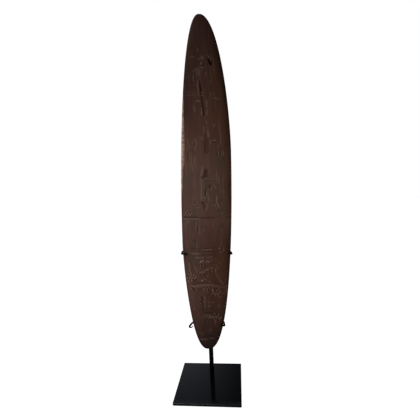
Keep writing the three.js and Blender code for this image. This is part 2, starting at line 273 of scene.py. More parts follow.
def crack(depth, shade, *places):
    """Opens a check in the wood. Each place is (x, z, width), from its upper end down."""
    for (x0, z0, w0), (x1, z1, w1) in zip(places, places[1:]):
        reach = max(w0, w1)
        cells, x, z = window(min(x0, x1) - reach, max(x0, x1) + reach, z1, z0)
        t = unit((z0 - z) / (z0 - z1))
        ragged = 0.35 * np.sin(z * 1.7 + x0) + 0.25 * np.sin(z * 4.1)
        off = np.abs(x - x0 - (x1 - x0) * t - ragged)
        half = (w0 + (w1 - w0) * t) / 2
        gap = unit((half - off) / np.maximum(0.6 * half, 0.3))
        cut_cells(cells, -depth * np.minimum(half / 1.2, 1) * gap, gap, 0, shade)


def scar(x, z, wide, high, depth, light=0.0, shade=0.0):
    """Presses a soft-edged mark into the face."""
    cells, gx, gz = window(x - wide, x + wide, z - high, z + high)
    up, across = (gz - z) / (high / 2), (gx - x) / (wide / 2)
    inside = unit(1.5 - (np.abs(across) ** 3 + np.abs(up) ** 3) ** (1 / 3))
    cut_cells(cells, -depth * inside, inside, light, shade)


def nicks(line, rows, pitch, strength, lean=0.5):
    """Rows of nicks along a line (x, z, x, z), as a chisel corner leaves, pale with dust and a painted
    highlight and dark with painted shade by turns.
    """
    x0, z0, x1, z1 = line
    run = math.hypot(x1 - x0, z1 - z0)
    side_x, side_z = -(z1 - z0) / run, (x1 - x0) / run
    count = max(int(run / pitch), 1)
    for row in range(rows):
        for i in range(count + 1):
            shift = (row - (rows - 1) / 2) * pitch * 0.95
            x = x0 + (x1 - x0) * i / count + side_x * shift + chance.normal(0, 0.3)
            z = z0 + (z1 - z0) * i / count + side_z * shift + chance.normal(0, 0.3)
            reach = chance.uniform(0.7, 1.3)
            width = chance.uniform(1.9, 2.5)
            bright = (i + row) % 2 == 0
            tone = min(strength * chance.uniform(0.9, 1.4 if bright else 1.3), 1.0)
            stroke((x - lean * reach, z - reach, x + lean * reach, z + reach), width,
                   0.5 if bright else 0.8, tone * bright, tone * (not bright), wobble=0.1, taper=0.6)


def x_at(z, u):
    """The place across the face at a share u of its half width."""
    cross = section(z / SHIELD_LENGTH)
    return float(cross["middle"] + cross["half"] * u)


SCRATCHES = 170


def carve_scoring():
    """Fine lines along the whole face, as a stone or glass scraper leaves."""
    for _ in range(SCRATCHES):
        z = chance.uniform(40, 735)
        u = chance.uniform(-0.86, 0.86)
        length = chance.uniform(10, 42)
        x = x_at(z, u)
        lean = chance.normal(0, 0.012) * length
        bright = chance.random() < 0.5
        width, depth = chance.uniform(1.0, 1.6), chance.uniform(0.1, 0.25)
        tone = chance.uniform(0.04, 0.14) if bright else chance.uniform(0.06, 0.2)
        stroke((x, z, x + lean, z + length), width, depth, tone * bright, tone * (not bright),
               wobble=0.12, taper=8)


# Lines across the face. Each row holds the heights of the line at the left edge, the middle and
# the right edge, the shares of the half width where it starts and stops, then the width, depth,
# light and shade of its stroke
BORDERS = (
    (604, 604, 604, -0.93, -0.2, 1.8, 0.4, 0.1, 0),
    (601.5, 601.5, 601.5, -0.93, -0.2, 1.8, 0.5, 0, 0.3),
    (598.5, 598.5, 598.5, -0.93, -0.2, 1.8, 0.4, 0.12, 0),
    (625, 625, 625, -0.93, -0.3, 1.4, 0.3, 0, 0.2),
    (614, 614, 614, -0.93, -0.3, 1.4, 0.3, 0, 0.15),
    (324, 323, 321, -0.93, 0.93, 1.8, 0.6, 0, 0.2),
    (325, 324, 323, -0.93, -0.32, 2.4, 0.9, 0, 0.75),
    (323, 322.5, 321, -0.25, 0.32, 2.4, 0.9, 0, 0.65),
    (321, 320.5, 320, -0.93, -0.3, 2, 0.5, 0.35, 0),
    (250, 250, 249, -0.93, 0.93, 1.4, 0.5, 0, 0.18),
    (243, 243.5, 241, -0.93, 0.93, 1.4, 0.6, 0, 0.25),
    (239.5, 239.5, 238, -0.93, 0.93, 2, 0.3, 0.06, 0),
    (235.5, 235.5, 234.5, -0.93, 0.93, 1.6, 0.6, 0, 0.25),
    (158, 164, 152, -0.86, 0.3, 6.5, 0.45, 0.26, 0),
    (157, 162, 152, 0.2, 0.88, 5.5, 0.35, 0.15, 0),
    (161, 169, 157, -0.75, 0.75, 4, 0.45, 0, 0.3),
)
BORDER_STEPS = 8


def carve_borders():
    for z_left, z_middle, z_right, first, last, width, depth, light, shade in BORDERS:
        points = []
        for i in range(BORDER_STEPS + 1):
            u = first + (last - first) * i / BORDER_STEPS
            ends = z_left if u < 0 else z_right
            z = ends + (z_middle - ends) * (1 - u * u)
            points += [x_at(z, u), z]
        stroke(points, width, depth, light, shade)


# Each part of the carving, its marks in the order in which they are cut
def carve_upper_field():
    lit(0.35, 1.7, (-5, 699, -5, 691))
    deep(0.4, 1.7, (-3, 700, -3, 692))
    lit(0.17, 1.7, (-24, 681, -9, 680), (-9, 676, 2, 675.5))
    deep(0.35, 1.7, (-22, 678, -9, 677.5))
    scar(4.5, 678, 9, 8, 0.3, 0.12)
    lit(0.25, 1.7, (14.5, 681, 14.8, 687), (20, 687, 21, 683))
    deep(0.4, 1.7, (12.5, 686, 12, 675), (20, 686, 24, 683))
    lit(0.4, 1.7, (19.5, 682, 18.6, 675), (23.5, 679, 25.5, 673))
    scar(2.2, 665.5, 3.2, 4.5, 0.4, 0.28)
    scar(6.5, 662, 4.5, 6, 0.7, 0, 0.65)
    lit(0.4, 1.7, (0, 657, 8, 657))
    scar(-5, 647.5, 10, 18, 0.2, 0.1)
    nicks((-16, 652, -11, 652), 2, 2.7, 0.35)
    lit(0.35, 1.7, (-16, 642, -16, 627), (12, 648, 12, 637), (19, 624, 21, 621), (21.5, 629, 24, 625))
    deep(0.35, 1.7, (-13.5, 641, -13.5, 626), (-18.5, 641, -18.5, 630), (14.5, 648, 14.5, 636))
    stroke((-7.2, 630, -6.2, 596), 4, 0.3, 0.14)
    deep(0.5, 1.7, (-10.3, 613, -9.8, 600), (-11, 578, -11, 568), (17, 604, 17, 595),
         (24, 604, 24, 597))
    lit(0.3, 1.7, (20.5, 604, 20.5, 594), (27, 603, 27, 596))
    lit(0.42, 2.2, (-12, 584, -3, 584))
    deep(0.55, 1.7, (-12, 581, -4, 581))
    stroke((24, 590.5, 33, 590, 42, 587), 2.2, 0.4, 0.25)
    lit(0.25, 1.7, (-18, 577, -17, 558), (-14.5, 575, -14, 560))
    lit(0.42, 2.6, (0.5, 571, 0, 552))
    lit(0.32, 2.6, (11.5, 586, 12.5, 568), (12.5, 566, 12, 552))
    lit(0.45, 2, (4.8, 529, 4.8, 512))
    lit(0.35, 1.7, (-5, 504.5, 3, 504.5), (-5, 500.5, 4, 500.5))
    deep(0.5, 1.7, (-5, 502.5, 3, 502.5))
    lit(0.35, 2.2, (12.5, 521, 13.5, 503), (16.5, 499, 17, 488))


def carve_middle_field():
    stroke((-34, 500, -30, 489, -27.3, 476), 1.7, 0.5, 0.26)
    stroke((-26.4, 474, -25, 462, -26, 446, -29, 436), 1.6, 0.5, 0.24)
    stroke((-20.5, 501, -22.8, 491, -25, 482), 1.5, 0.5, 0.24)
    lit(0.3, 1.8, (-16, 503, -16.2, 492), (-16.3, 488, -16.6, 472), (-16.8, 469, -17, 458))
    lit(0.24, 1.6, (-20.8, 484, -21, 468), (-21, 465, -21.2, 447), (-13, 497, -13.4, 484))
    lit(0.2, 1.7, (-18.5, 459, -18.5, 436), (-29, 466, -29.5, 443))
    deep(0.45, 1.8, (-23, 482, -23.2, 466), (-18.8, 498, -18.8, 484), (-18.6, 480, -18.8, 462),
         (-23.4, 462, -23.6, 450), (-35, 476, -34, 452))
    lit(0.6, 2, (22, 497, 31, 497))
    deep(0.65, 2, (22, 494, 31, 494))
    lit(0.35, 1.7, (16, 479, 16.5, 488), (34, 488, 34.5, 479), (18.5, 491, 21, 495))
    stroke((38, 540, 38.5, 520, 41, 503, 40, 488), 1.8, 0.4, 0.2)
    lit(0.3, 1.7, (28.5, 534, 28.5, 525), (25, 534, 25, 526))
    deep(0.5, 1.7, (32.5, 471, 32.5, 461), (40, 472, 40, 462))
    lit(0.35, 1.7, (35.5, 472, 35.5, 460), (42.5, 474, 42.5, 461), (46.5, 476, 46.5, 462))
    stroke((-1, 441, -3, 430, -6.5, 417), 4, 0.4, 0.3)
    stroke((-6.2, 415, -6, 390, -7, 362), 5.6, 0.35, 0.2)
    lit(0.4, 1.7, (1, 417.5, 10, 417.5), (1, 412.5, 10, 412.5), (19, 416.5, 28, 416.5),
        (19, 411.5, 28, 411.5))
    deep(0.65, 1.7, (0, 415, 10, 415), (19, 414, 28, 414))
    lit(0.3, 2, (29.5, 432, 29.5, 400), (34.5, 420, 34.5, 399))
    scar(14, 394.5, 5, 7, 0.7, 0, 0.6)
    nicks((20, 395.5, 26.5, 394), 2, 3.2, 0.75)
    lit(0.45, 2.2, (17.5, 390, 18, 386))
    nicks((40, 386, 45, 384), 2, 2.6, 0.5)
    lit(0.4, 2.3, (5.5, 383, 6.5, 372), (1, 374, 1.5, 364), (10, 373, 10.5, 358))
    stroke((8, 358, 7, 350, 2, 337), 2.4, 0.5, 0.3)
    lit(0.25, 1.7, (-25, 445, -25, 428), (-21, 378, -21, 362), (-24.5, 376, -25, 362))
    deep(0.25, 2.4, (-28, 422, -18, 421), (-23, 377, -23, 366))
    deep(0.65, 1.7, (-19, 349.5, -8, 349.5))
    lit(0.4, 1.7, (-19, 352, -9, 352), (-18, 347, -9, 347))
    stroke((28.5, 373, 28.5, 358, 30.5, 351, 33.5, 344.5), 2.3, 0.6, 0.65)
    lit(0.3, 1.7, (39.5, 356, 40, 344))
    nicks((20, 352, 27, 347), 2, 3, 0.6)
    nicks((-23, 350, -46, 333), 2, 3.2, 0.6)
    nicks((-47, 331, -30, 331), 2, 3.4, 0.95)
    nicks((37, 333, 42, 326), 2, 2.9, 0.75)
    nicks((38, 321, 41, 314), 1, 2.9, 0.5)
    stroke((36, 306, 42, 298), 1.6, 0.5, 0, 0.45)
    stroke((42, 306, 36, 298), 1.6, 0.5, 0, 0.45)
    nicks((-48, 309, -39, 316), 1, 2.8, 0.45)


def carve_lower_field():
    deep(0.65, 1.9, (-25, 318, -24.5, 291), (-19.6, 309, -18, 291), (-29, 303, -29, 291),
         (-16.5, 303, -17, 292))
    lit(0.35, 2, (-22, 312, -21.5, 292), (-15, 307, -12, 281))
    lit(0.3, 1.7, (-27, 302, -27, 291), (-35, 316, -43, 309))
    deep(0.6, 2, (-28.5, 273, -25, 266), (-22, 272, -25, 266), (-25, 266, -24, 252))
    lit(0.35, 1.7, (-28, 266, -27.5, 258), (-22.5, 262, -22, 254))
    deep(0.2, 2.4, (-13, 303, -2, 302), (0, 302, 8, 301), (2, 263, 16, 263), (-10, 287, 2, 286))
    lit(0.2, 3, (-3, 298, -3, 290), (18, 312, 18, 302))


def carve_hook_borders():
    deep(0.6, 2, (-32, 250, -23, 250), (-8, 250.2, 9, 250.2), (15, 242, 26, 238.5))
    stroke((-9, 247.5, 0, 247.3, 8, 248.2, 14, 249.5), 2, 0.5, 0.5)
    deep(0.45, 1.7, (-8, 244.8, 12, 244.5))
    stroke((-35, 239.6, -24, 239.2, -13, 239), 3.4, 0.5, 0.35)
    nicks((32, 250, 43, 250), 1, 4.6, 0.75)
    nicks((36, 243, 41, 243), 2, 2.8, 0.7)
    deep(0.6, 1.7, (25, 244, 28, 241))


def carve_flanks():
    stroke((-43, 226, -33, 214, -25, 206), 2.2, 0.6, 0, 0.3)
    stroke((-40.5, 220, -40, 205, -38.5, 192), 2.2, 0.5, 0.35)
    stroke((-30, 213, -24, 202, -22, 194), 4, 0.4, 0.22)
    nicks((-33, 222, -29, 217), 2, 3, 0.3)
    nicks((-41, 192, -32, 187), 2, 3.4, 0.75, 0.6)
    nicks((-44, 177, -25, 184), 3, 3.5, 0.95, 0.7)
    nicks((-42, 172, -31, 177), 1, 3.4, 0.85, 0.7)
    stroke((-37, 168, -28, 175, -20, 178), 3, 0.8, 0, 0.4)
    stroke((-32, 166, -24, 169, -10, 169), 3, 0.6, 0, 0.3)
    nicks((24, 222, 34, 210), 1, 3, 0.4)
    nicks((20, 212, 29, 202), 2, 3, 0.55, -0.6)
    stroke((47, 232, 36, 219, 27, 208, 21, 200), 2.2, 0.6, 0.12, 0.15)
    stroke((19, 199, 23, 187, 30, 174, 40, 160), 5.5, 0.35, 0.14)
    stroke((13, 174, 21, 169, 31, 164, 42, 158), 2.4, 0.6, 0, 0.35)
    lit(0.25, 1.7, (47, 178, 44, 166))


def carve_ladder():
    lit(0.75, 2, (-24, 230, -13, 229.5), (-11, 230.5, -5, 229.5), (4, 229, 8, 231), (11, 231, 14, 230))
    deep(0.5, 1.7, (-22, 226.8, -13, 226.8), (-3, 227, 3, 228), (9, 227, 14, 226))
    nicks((-13, 225, -7, 224), 1, 2.8, 0.5)
    nicks((6, 226, 14, 222), 2, 2.9, 0.4)
    stroke((-15, 217, -12, 220.5, -8, 221.5, -6, 221), 2.4, 0.6, 0.95)
    stroke((-4, 219.5, 4, 219.5), 1.8, 0.4, 0.4)
    stroke((4, 221.5, 7.5, 218), 2.8, 0.6, 1)
    deep(0.5, 1.7, (-17, 214, -13, 210), (-13, 214, -8, 214), (9, 217, 12, 213))
    deep(0.6, 1.9, (-10, 216, -10, 203), (-4, 214, -4.5, 204))
    lit(0.35, 1.8, (-13, 214, -14, 204), (-7, 216, -7, 204))
    stroke((-6, 198.3, 0, 200.5, 7, 201.5), 2.3, 0.6, 0.7)
    stroke((9.5, 204.5, 13.8, 204), 2.6, 0.6, 0.85)
    lit(1, 2.8, (-15.5, 194.8, -11, 194.8), (-8.5, 194.8, -5, 194.5))
    deep(0.85, 2.2, (-15.5, 191, -13.5, 186), (-8, 191.5, -7, 186))
    lit(0.45, 1.7, (-11.5, 192, -11.5, 187))
    deep(0.7, 2, (10, 203, 9.5, 188), (16, 200, 15.5, 186))
    lit(0.5, 1.8, (12.8, 203, 12.8, 192), (21.3, 204, 21, 193))
    lit(0.6, 2.4, (0, 184.5, 4.5, 184.5), (-6.5, 178.5, -2, 177.5))
    deep(0.35, 1.7, (-6, 181.5, 8, 180.8))
    scar(-11, 174.8, 3.4, 3.6, 0.5, 0.85)
    stroke((3, 171.5, 10, 171.5), 3.2, 0.4, 0.35)
    deep(0.65, 2, (9, 175.5, 14, 174.5), (9, 166, 14, 165))


def carve_rectangle():
    stroke((-38, 160, -33, 156, -28, 149.5), 3, 1, 0, 0.85)
    lit(0.4, 3, (-36, 155, -41, 158))
    deep(0.6, 2.4, (-20.5, 156, -20.5, 149), (-12.5, 156, -12.5, 149), (-16.5, 155, -16.5, 151))
    lit(0.35, 2, (-24.5, 157, -24.5, 149), (-8.8, 155, -8.8, 149))
    nicks((-6, 156, 6, 155.5), 2, 2.9, 0.85)
    nicks((-3, 149.5, 3, 147.5), 2, 2.8, 0.7)
    deep(0.7, 2.6, (4, 151.5, 12, 150.5))
    nicks((13, 152.5, 27, 152), 1, 3.2, 1)
    nicks((15, 148.5, 28, 146), 1, 3.2, 0.95)
    scar(22.3, 149.8, 8, 7, 0.8, 0, 0.9)
    scar(22.5, 149.6, 3.6, 3.6, 0.4, 1)
    nicks((13, 143, 29, 140), 2, 3, 0.65, 1)
    nicks((20, 137, 32, 134), 1, 3, 0.5, 1)
    nicks((33, 146, 40, 138), 1, 3, 0.5)
    stroke((46.6, 163, 45.8, 150, 44.5, 138), 2.2, 0.5, 0.45)
    stroke((-10.5, 137.5, -13.5, 133, -10, 128.5, -14, 124, -10, 119.5), 2.6, 0.9, 0, 0.9)
    lit(0.7, 2, (-17.5, 129.5, -15.5, 127.5), (-16.5, 120, -15, 118.5), (-8, 134, -6.5, 131),
        (-8.5, 124.5, -7.5, 122))
    stroke((-5.5, 139, -6, 123, -6.4, 106), 4.6, 0.35, 0.16)
    deep(0.4, 2.2, (-9.6, 119, -9.8, 98))
    deep(0.55, 2.4, (-8, 96.8, 12, 96.2))
    deep(0.6, 2.4, (11, 112, 11.2, 97))
    lit(0.18, 3.4, (3.5, 127, 3.6, 113))
    stroke((1.5, 111.8, 6.5, 110.8), 2.4, 0.5, 0.65)
    deep(0.7, 1.7, (11, 123.8, 17, 123.8), (3, 108.5, 7, 108))
    lit(0.6, 1.8, (11, 121, 17, 120.6))
    lit(0.45, 1.8, (23.5, 112, 26.5, 107), (26.5, 113.5, 29.5, 110))
    lit(0.7, 2.4, (-33, 107, -30.5, 105))
    deep(0.65, 2.2, (-32.5, 101, -30, 98), (-35, 112, -34, 109))
    nicks((-42, 119, -38, 112), 1, 3, 0.4)
    nicks((42, 116, 42, 108), 1, 3, 0.7)


def carve_tip():
    stroke((-12, 87, 0, 88.5, 8, 88), 5.5, 0.4, 0.18)
    nicks((2, 85, 14, 83), 2, 3, 0.8, 1)
    nicks((15, 86, 34, 80), 2, 3.1, 0.8, 1)
    nicks((17, 92, 25, 90), 1, 3, 0.6)
    nicks((28, 78, 33, 76), 1, 3, 0.6)
    lit(0.4, 2.6, (18, 77, 18, 67))
    deep(0.18, 2.2, (13, 78, -8, 77))
    stroke((0.5, 55, 8.5, 48), 1.7, 0.6, 0.3)
    stroke((8.5, 55, 0.5, 48), 1.7, 0.6, 0.3)
    deep(0.5, 1.7, (2.5, 52.8, 6.5, 52.8), (2.5, 49.5, 6.5, 49.5))
    lit(0.35, 1.7, (-20.5, 48, -19.5, 41), (-16.5, 48, -16, 42), (-11.5, 47, -12.5, 42),
        (-15.5, 42, -13, 38))
    deep(0.3, 1.7, (-18.5, 48, -18, 42), (-14, 48, -14, 44))
    stroke((-19.5, 28.2, -8, 28.8, -1, 28.8), 2.6, 0.5, 0.38)
    lit(0.15, 2.4, (1, 29, 18, 30))
    scar(7, 31.5, 4, 3.6, 0.5, 0.32)
    scar(7, 36, 4, 3, 0.6, 0, 0.6)


def carve_cracks():
    crack(1.2, 0.56, (-1.8, 627, 2.5), (-0.8, 617, 6.8), (0.2, 606, 7.2), (2, 596, 6.4),
          (3.4, 582, 7.8), (4.4, 570, 8.8), (4.8, 560, 8.6), (5.4, 551, 5))
    crack(1.8, 0.74, (-1.6, 622, 1.6), (-0.4, 616, 5), (0.6, 608, 4.6), (1.8, 601, 1.6))
    crack(1.2, 0.48, (2.4, 597, 1.6), (3.2, 588, 3.4), (4, 577, 3.6), (4.8, 570, 4.4))
    crack(1.4, 0.6, (4.8, 571, 3.2), (5.4, 560, 5.4), (5.8, 552, 3.4))
    lit(0.25, 1.7, (-2.5, 602, 6.5, 602), (-2.5, 596.5, 6.5, 596.5))
    deep(0.85, 1.8, (-2, 599.5, 6.5, 599.5))
    crack(1.2, 0.42, (7.4, 532, 0.8), (7.8, 515, 1.8), (8.2, 502, 2.2))
    crack(0.5, 0.34, (7.2, 538, 2.6), (7.2, 524, 3.4), (8.2, 520, 6.2), (8.4, 504, 6.7),
          (9.5, 498, 15.5), (9.5, 486, 16.5), (9.5, 474, 16.5), (8.6, 468, 13))
    crack(1, 0.38, (9, 505, 1), (8, 492, 1.8), (6.2, 481, 4.6), (6.4, 473, 4))
    crack(0.8, 0.55, (6.5, 433, 7), (5.6, 425, 12), (5, 416, 14))
    stroke((-4.5, 414.5, -1.5, 414.2, 2, 413), 4.2, 1.2, 0, 0.9)
    crack(1.5, 0.65, (5.5, 390, 1), (3.6, 381, 3.4), (2.4, 371, 1.6))
    stroke((-7, 359.5, -4.5, 356.5, -1.5, 354), 4, 1.2, 0, 0.8)
    crack(1, 0.5, (-2, 358, 2.5), (-0.4, 351, 5.6), (0.2, 341, 4))
    stroke((17.6, 677, 20.4, 671, 25, 664.5), 5, 4.5, 0, 1, taper=2)
    scar(24, 665.5, 7, 6, 3.5, 0, 1)
    lit(0.3, 2, (9.5, 542, 9.5, 532))


def carve():
    for marks in (carve_scoring, carve_borders, carve_upper_field, carve_middle_field,
                  carve_lower_field, carve_hook_borders, carve_flanks, carve_ladder,
                  carve_rectangle, carve_tip, carve_cracks):
        marks()


def read_field(field, x, z):
    """The field at any places, between its cells."""
    gx = np.clip((x - FIELD_LEFT) / FIELD_STEP, 0, FIELD_WIDE - 1.001)
    gz = np.clip(z / FIELD_STEP, 0, FIELD_HIGH - 1.001)
    ix, iz = gx.astype(int), gz.astype(int)
    fx, fz = gx - ix, gz - iz
    low = field[iz, ix] * (1 - fx) + field[iz, ix + 1] * fx
    high = field[iz + 1, ix] * (1 - fx) + field[iz + 1, ix + 1] * fx
    return low * (1 - fz) + high * fz


# Meshes
def add_object(name, data):
    piece = bpy.data.objects.new(name, data)
    bpy.context.scene.collection.objects.link(piece)
    return piece


def mesh_object(name, points, faces):
    mesh = bpy.data.meshes.new(name)
    mesh.from_pydata(points, [], faces)
    return add_object(name, mesh)


def form_object(name, form):
    """The object of a finished form, its faces turned outward."""
    bmesh.ops.recalc_face_normals(form, faces=form.faces)
    mesh = bpy.data.meshes.new(name)
    form.to_mesh(mesh)
    form.free()
    return add_object(name, mesh)


def loft(name, rings, closed=False):
    """A skin over rings of points in millimetres. A ring of one point is a tip.

    A closed skin runs on from the last ring to the first. Any other has its open ends capped.
    """
    form = bmesh.new()
    rings = [[form.verts.new([n * MM for n in point]) for point in ring] for ring in rings]
    sides = max(len(ring) for ring in rings)
    for low, high in zip(rings, rings[1:] + rings[:1] * closed):
        for i in range(sides):
            j = (i + 1) % sides
            corners = list(dict.fromkeys((low[i % len(low)], low[j % len(low)],
                                          high[j % len(high)], high[i % len(high)])))
            if len(corners) > 2:
                form.faces.new(corners)
    if not closed and len(rings[0]) > 1:
        form.faces.new(rings[0][::-1])
        form.faces.new(rings[-1])
    return form_object(name, form)


def modify(piece, kind, **settings):
    modifier = piece.modifiers.new(kind.lower(), kind)
    for key, value in settings.items():
        setattr(modifier, key, value)
    bpy.context.view_layer.objects.active = piece
    bpy.ops.object.modifier_apply(modifier=modifier.name)


def placed(piece, matrix):
    """Moves the piece's mesh by a matrix whose lengths are millimetres."""
    place = matrix.copy()
    place.translation *= MM
    piece.data.transform(place)
    return piece


def joined(piece, other, operation, solver):
    modify(piece, "BOOLEAN", operation=operation, solver=solver, object=other)
    bpy.data.objects.remove(other)
    return piece


def cut_out(piece, cutter):
    return joined(piece, cutter, "DIFFERENCE", "EXACT")


def smooth(piece, angle):
    piece.data.shade_smooth()
    piece.data.set_sharp_from_angle(angle=math.radians(angle))


# Shield: a closed skin of rings, carved in front and adzed behind, then thinned to MOST_FACES
ROWS, FRONT_COLUMNS, BACK_COLUMNS = ((1080, 176, 64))
MOST_FACES = 196_000
CUPS = 900
CUP_WIDE, CUP_HIGH = 6.5, 14.0
CUP_DEPTH = (0.1, 0.42)
FRONT_CUPS = 0.25
SMOOTH_RIM = 0.06


def tool_facets(x, z):
    """Shallow scallops of a small adze: the deepest of scattered, drawn-out cups, in millimetres."""
    source = np.random.default_rng(11)
    cup_x = source.uniform(FIELD_LEFT - 2, FIELD_RIGHT, CUPS)
    cup_z = source.uniform(0, SHIELD_LENGTH, CUPS)
    depth = source.uniform(*CUP_DEPTH, CUPS)
    best = np.zeros_like(x)
    for cx, cz, cut in zip(cup_x, cup_z, depth):
        near = np.abs(z - cz) < CUP_HIGH + 1
        if near.any():
            off = ((x[near] - cx) / CUP_WIDE) ** 2 + ((z[near] - cz) / CUP_HIGH) ** 2
            best[near] = np.minimum(best[near], -cut * unit(1 - off))
    return best


def eased(count, ease):
    """Even steps from 0 to 1, drawn towards both ends by a share of ease."""
    even = np.linspace(0, 1, count + 1)
    return ease * (1 - np.cos(math.pi * even)) / 2 + (1 - ease) * even


def board():
    front_u = 2 * eased(FRONT_COLUMNS, ease=0.35) - 1
    back_u = 1 - 2 * eased(BACK_COLUMNS, ease=1)[1:-1]
    rows = eased(ROWS, ease=0.12)[1:-1]
    u, share = np.meshgrid(np.concatenate([front_u, back_u]), rows)
    count, around = u.shape
    front = np.broadcast_to(np.arange(around) < len(front_u), u.shape)
    cross = section(share)
    x = cross["middle"] + cross["half"] * u
    z = share * SHIELD_LENGTH
    y = face_depth(cross, u, np.where(front, -1, 1))
    inner = unit((1 - np.abs(u)) / SMOOTH_RIM)
    facets = tool_facets(x.ravel(), z.ravel()).reshape(x.shape) * inner
    y += np.where(front, -read_field(relief, x, z) * inner - FRONT_CUPS * facets, facets)
    points = np.stack([x, y, z], -1)
    tips = [sum(map(Vector, ring * MM), Vector()) / around for ring in (points[0], points[-1])]
    skin = np.vstack([points.reshape(-1, 3) * MM, tips])
    skin[-2:, 2] = 0, SHIELD_LENGTH * MM
    row, col = np.meshgrid(np.arange(count - 1) * around, np.arange(around), indexing="ij")
    after = (col + 1) % around
    faces = np.stack([row + col, row + after, row + around + after, row + around + col], -1)
    faces = faces.reshape(-1, 4).tolist()
    end = count * around
    top = end - around
    faces += [((i + 1) % around, i, end) for i in range(around)]
    faces += [(top + i, top + (i + 1) % around, end + 1) for i in range(around)]
    return mesh_object("shield_board", skin, faces)


# Grip: a bridge of the same wood, its feet spread into the back
GRIP_ROOT = -10.0
CURVE_STEPS, ARCH_STEPS = 12, 8
GRIP_SKIN, GRIP_SOFTENINGS = ((1.2, 24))


def cubic(a, b, c, d):
    return [
        tuple((1 - t) ** 3 * p + 3 * (1 - t) ** 2 * t * q + 3 * (1 - t) * t * t * r + t ** 3 * s
              for p, q, r, s in zip(a, b, c, d))
        for t in (i / CURVE_STEPS for i in range(CURVE_STEPS))
    ]


def mirrored(points):
    return [(-a, b) for a, b in reversed(points)]


def grip_profile():
    """The grip from the side, as points along the shield and off its back."""
    half, crest = GRIP_LENGTH / 2, 0.24 * GRIP_LENGTH
    near, far = 0.4 * GRIP_LENGTH, 0.34 * GRIP_LENGTH
    bow = GRIP_HEIGHT + GRIP_CREST * 2 / 3
    rise = cubic((half, 0), (near, 0), (far, GRIP_HEIGHT), (crest, GRIP_HEIGHT))
    over = cubic((crest, GRIP_HEIGHT), (crest / 3, bow), (-crest / 3, bow), (-crest, GRIP_HEIGHT))
    finger = FINGER_LENGTH / 2
    inner, top = finger - FINGER_CORNER, FINGER_DEPTH - FINGER_CORNER
    corner = [
        (-inner + FINGER_CORNER * math.cos(a), top + FINGER_CORNER * math.sin(a))
        for a in (math.pi - i * math.pi / 2 / ARCH_STEPS for i in range(ARCH_STEPS + 1))
    ]
    return [*rise, *over, (-crest, GRIP_HEIGHT), *mirrored(rise), (-half, GRIP_ROOT),
            (-finger, GRIP_ROOT), *corner, *mirrored(corner), (finger, GRIP_ROOT), (half, GRIP_ROOT)]


def grip():
    """The profile as a slab, softened all over."""
    rings = [[(side * GRIP_WIDTH / 2, b, a) for a, b in grip_profile()] for side in (-1, 1)]
    piece = loft("grip_core", rings)
    modify(piece, "REMESH", mode="VOXEL", voxel_size=GRIP_SKIN * MM)
    modify(piece, "SMOOTH", factor=0.5, iterations=GRIP_SOFTENINGS)
    return placed(piece, Matrix.Translation((float(section(0.5)["middle"]), 0, GRIP_MIDDLE)))


# Wear of the shield, and light and shade painted along and across it

# Heights along it, and at each how far in the rim is worn, how much tone the wood has from handling and
# from painted light falling off towards the tips, how much painted light or shade its left and right
# sides get, how much darker a band at the right is, and how amber the wood is
RIM_REACH = (
    (375, 392, 432, 448, 475, 510, 550, 580, 596, 606),
    (2.4, 3.0, 3.4, 5.9, 6.4, 5.5, 3.9, 2.9, 1.5, 0.5),
)
HANDLED_AND_PAINTED_LIGHT = (
    (0, 40, 70, 130, 250, 310, 430, 490, 550, 610, 670, 777),
    (0, 0.2, 0.5, 0.7, 0.78, 1.06, 1.03, 0.88, 0.7, 0.42, 0.2, 0),
)
LEFT_PAINTED_LIGHT = (60, 130, 220, 300, 440, 500, 560, 700), (0.1, 0.35, 0.25, 0.05, 0, -0.15, -0.6, -0.35)
RIGHT_PAINTED_LIGHT = (160, 230, 310, 400, 500, 600), (-0.1, -0.22, 0.2, 0, -0.15, -0.25)
RIGHT_BAND_DARKENING = (310, 345, 400, 430), (0, 0.2, 0.2, 0)
AMBER = (20, 110, 640, 740), (0.1, 1, 1, 0.55)
MOST_HANDLED_AND_PAINTED_LIGHT = 1.1


def coordinates(piece):
    """The mesh's points in millimetres, as three rows."""
    flat = np.empty(len(piece.data.vertices) * 3, np.float32)
    piece.data.vertices.foreach_get("co", flat)
    return flat.reshape(-1, 3).T.astype(float) / MM


def store(piece, name, values):
    attribute = piece.data.attributes.new(name, "FLOAT", "POINT")
    attribute.data.foreach_set("value", np.asarray(values, np.float32))


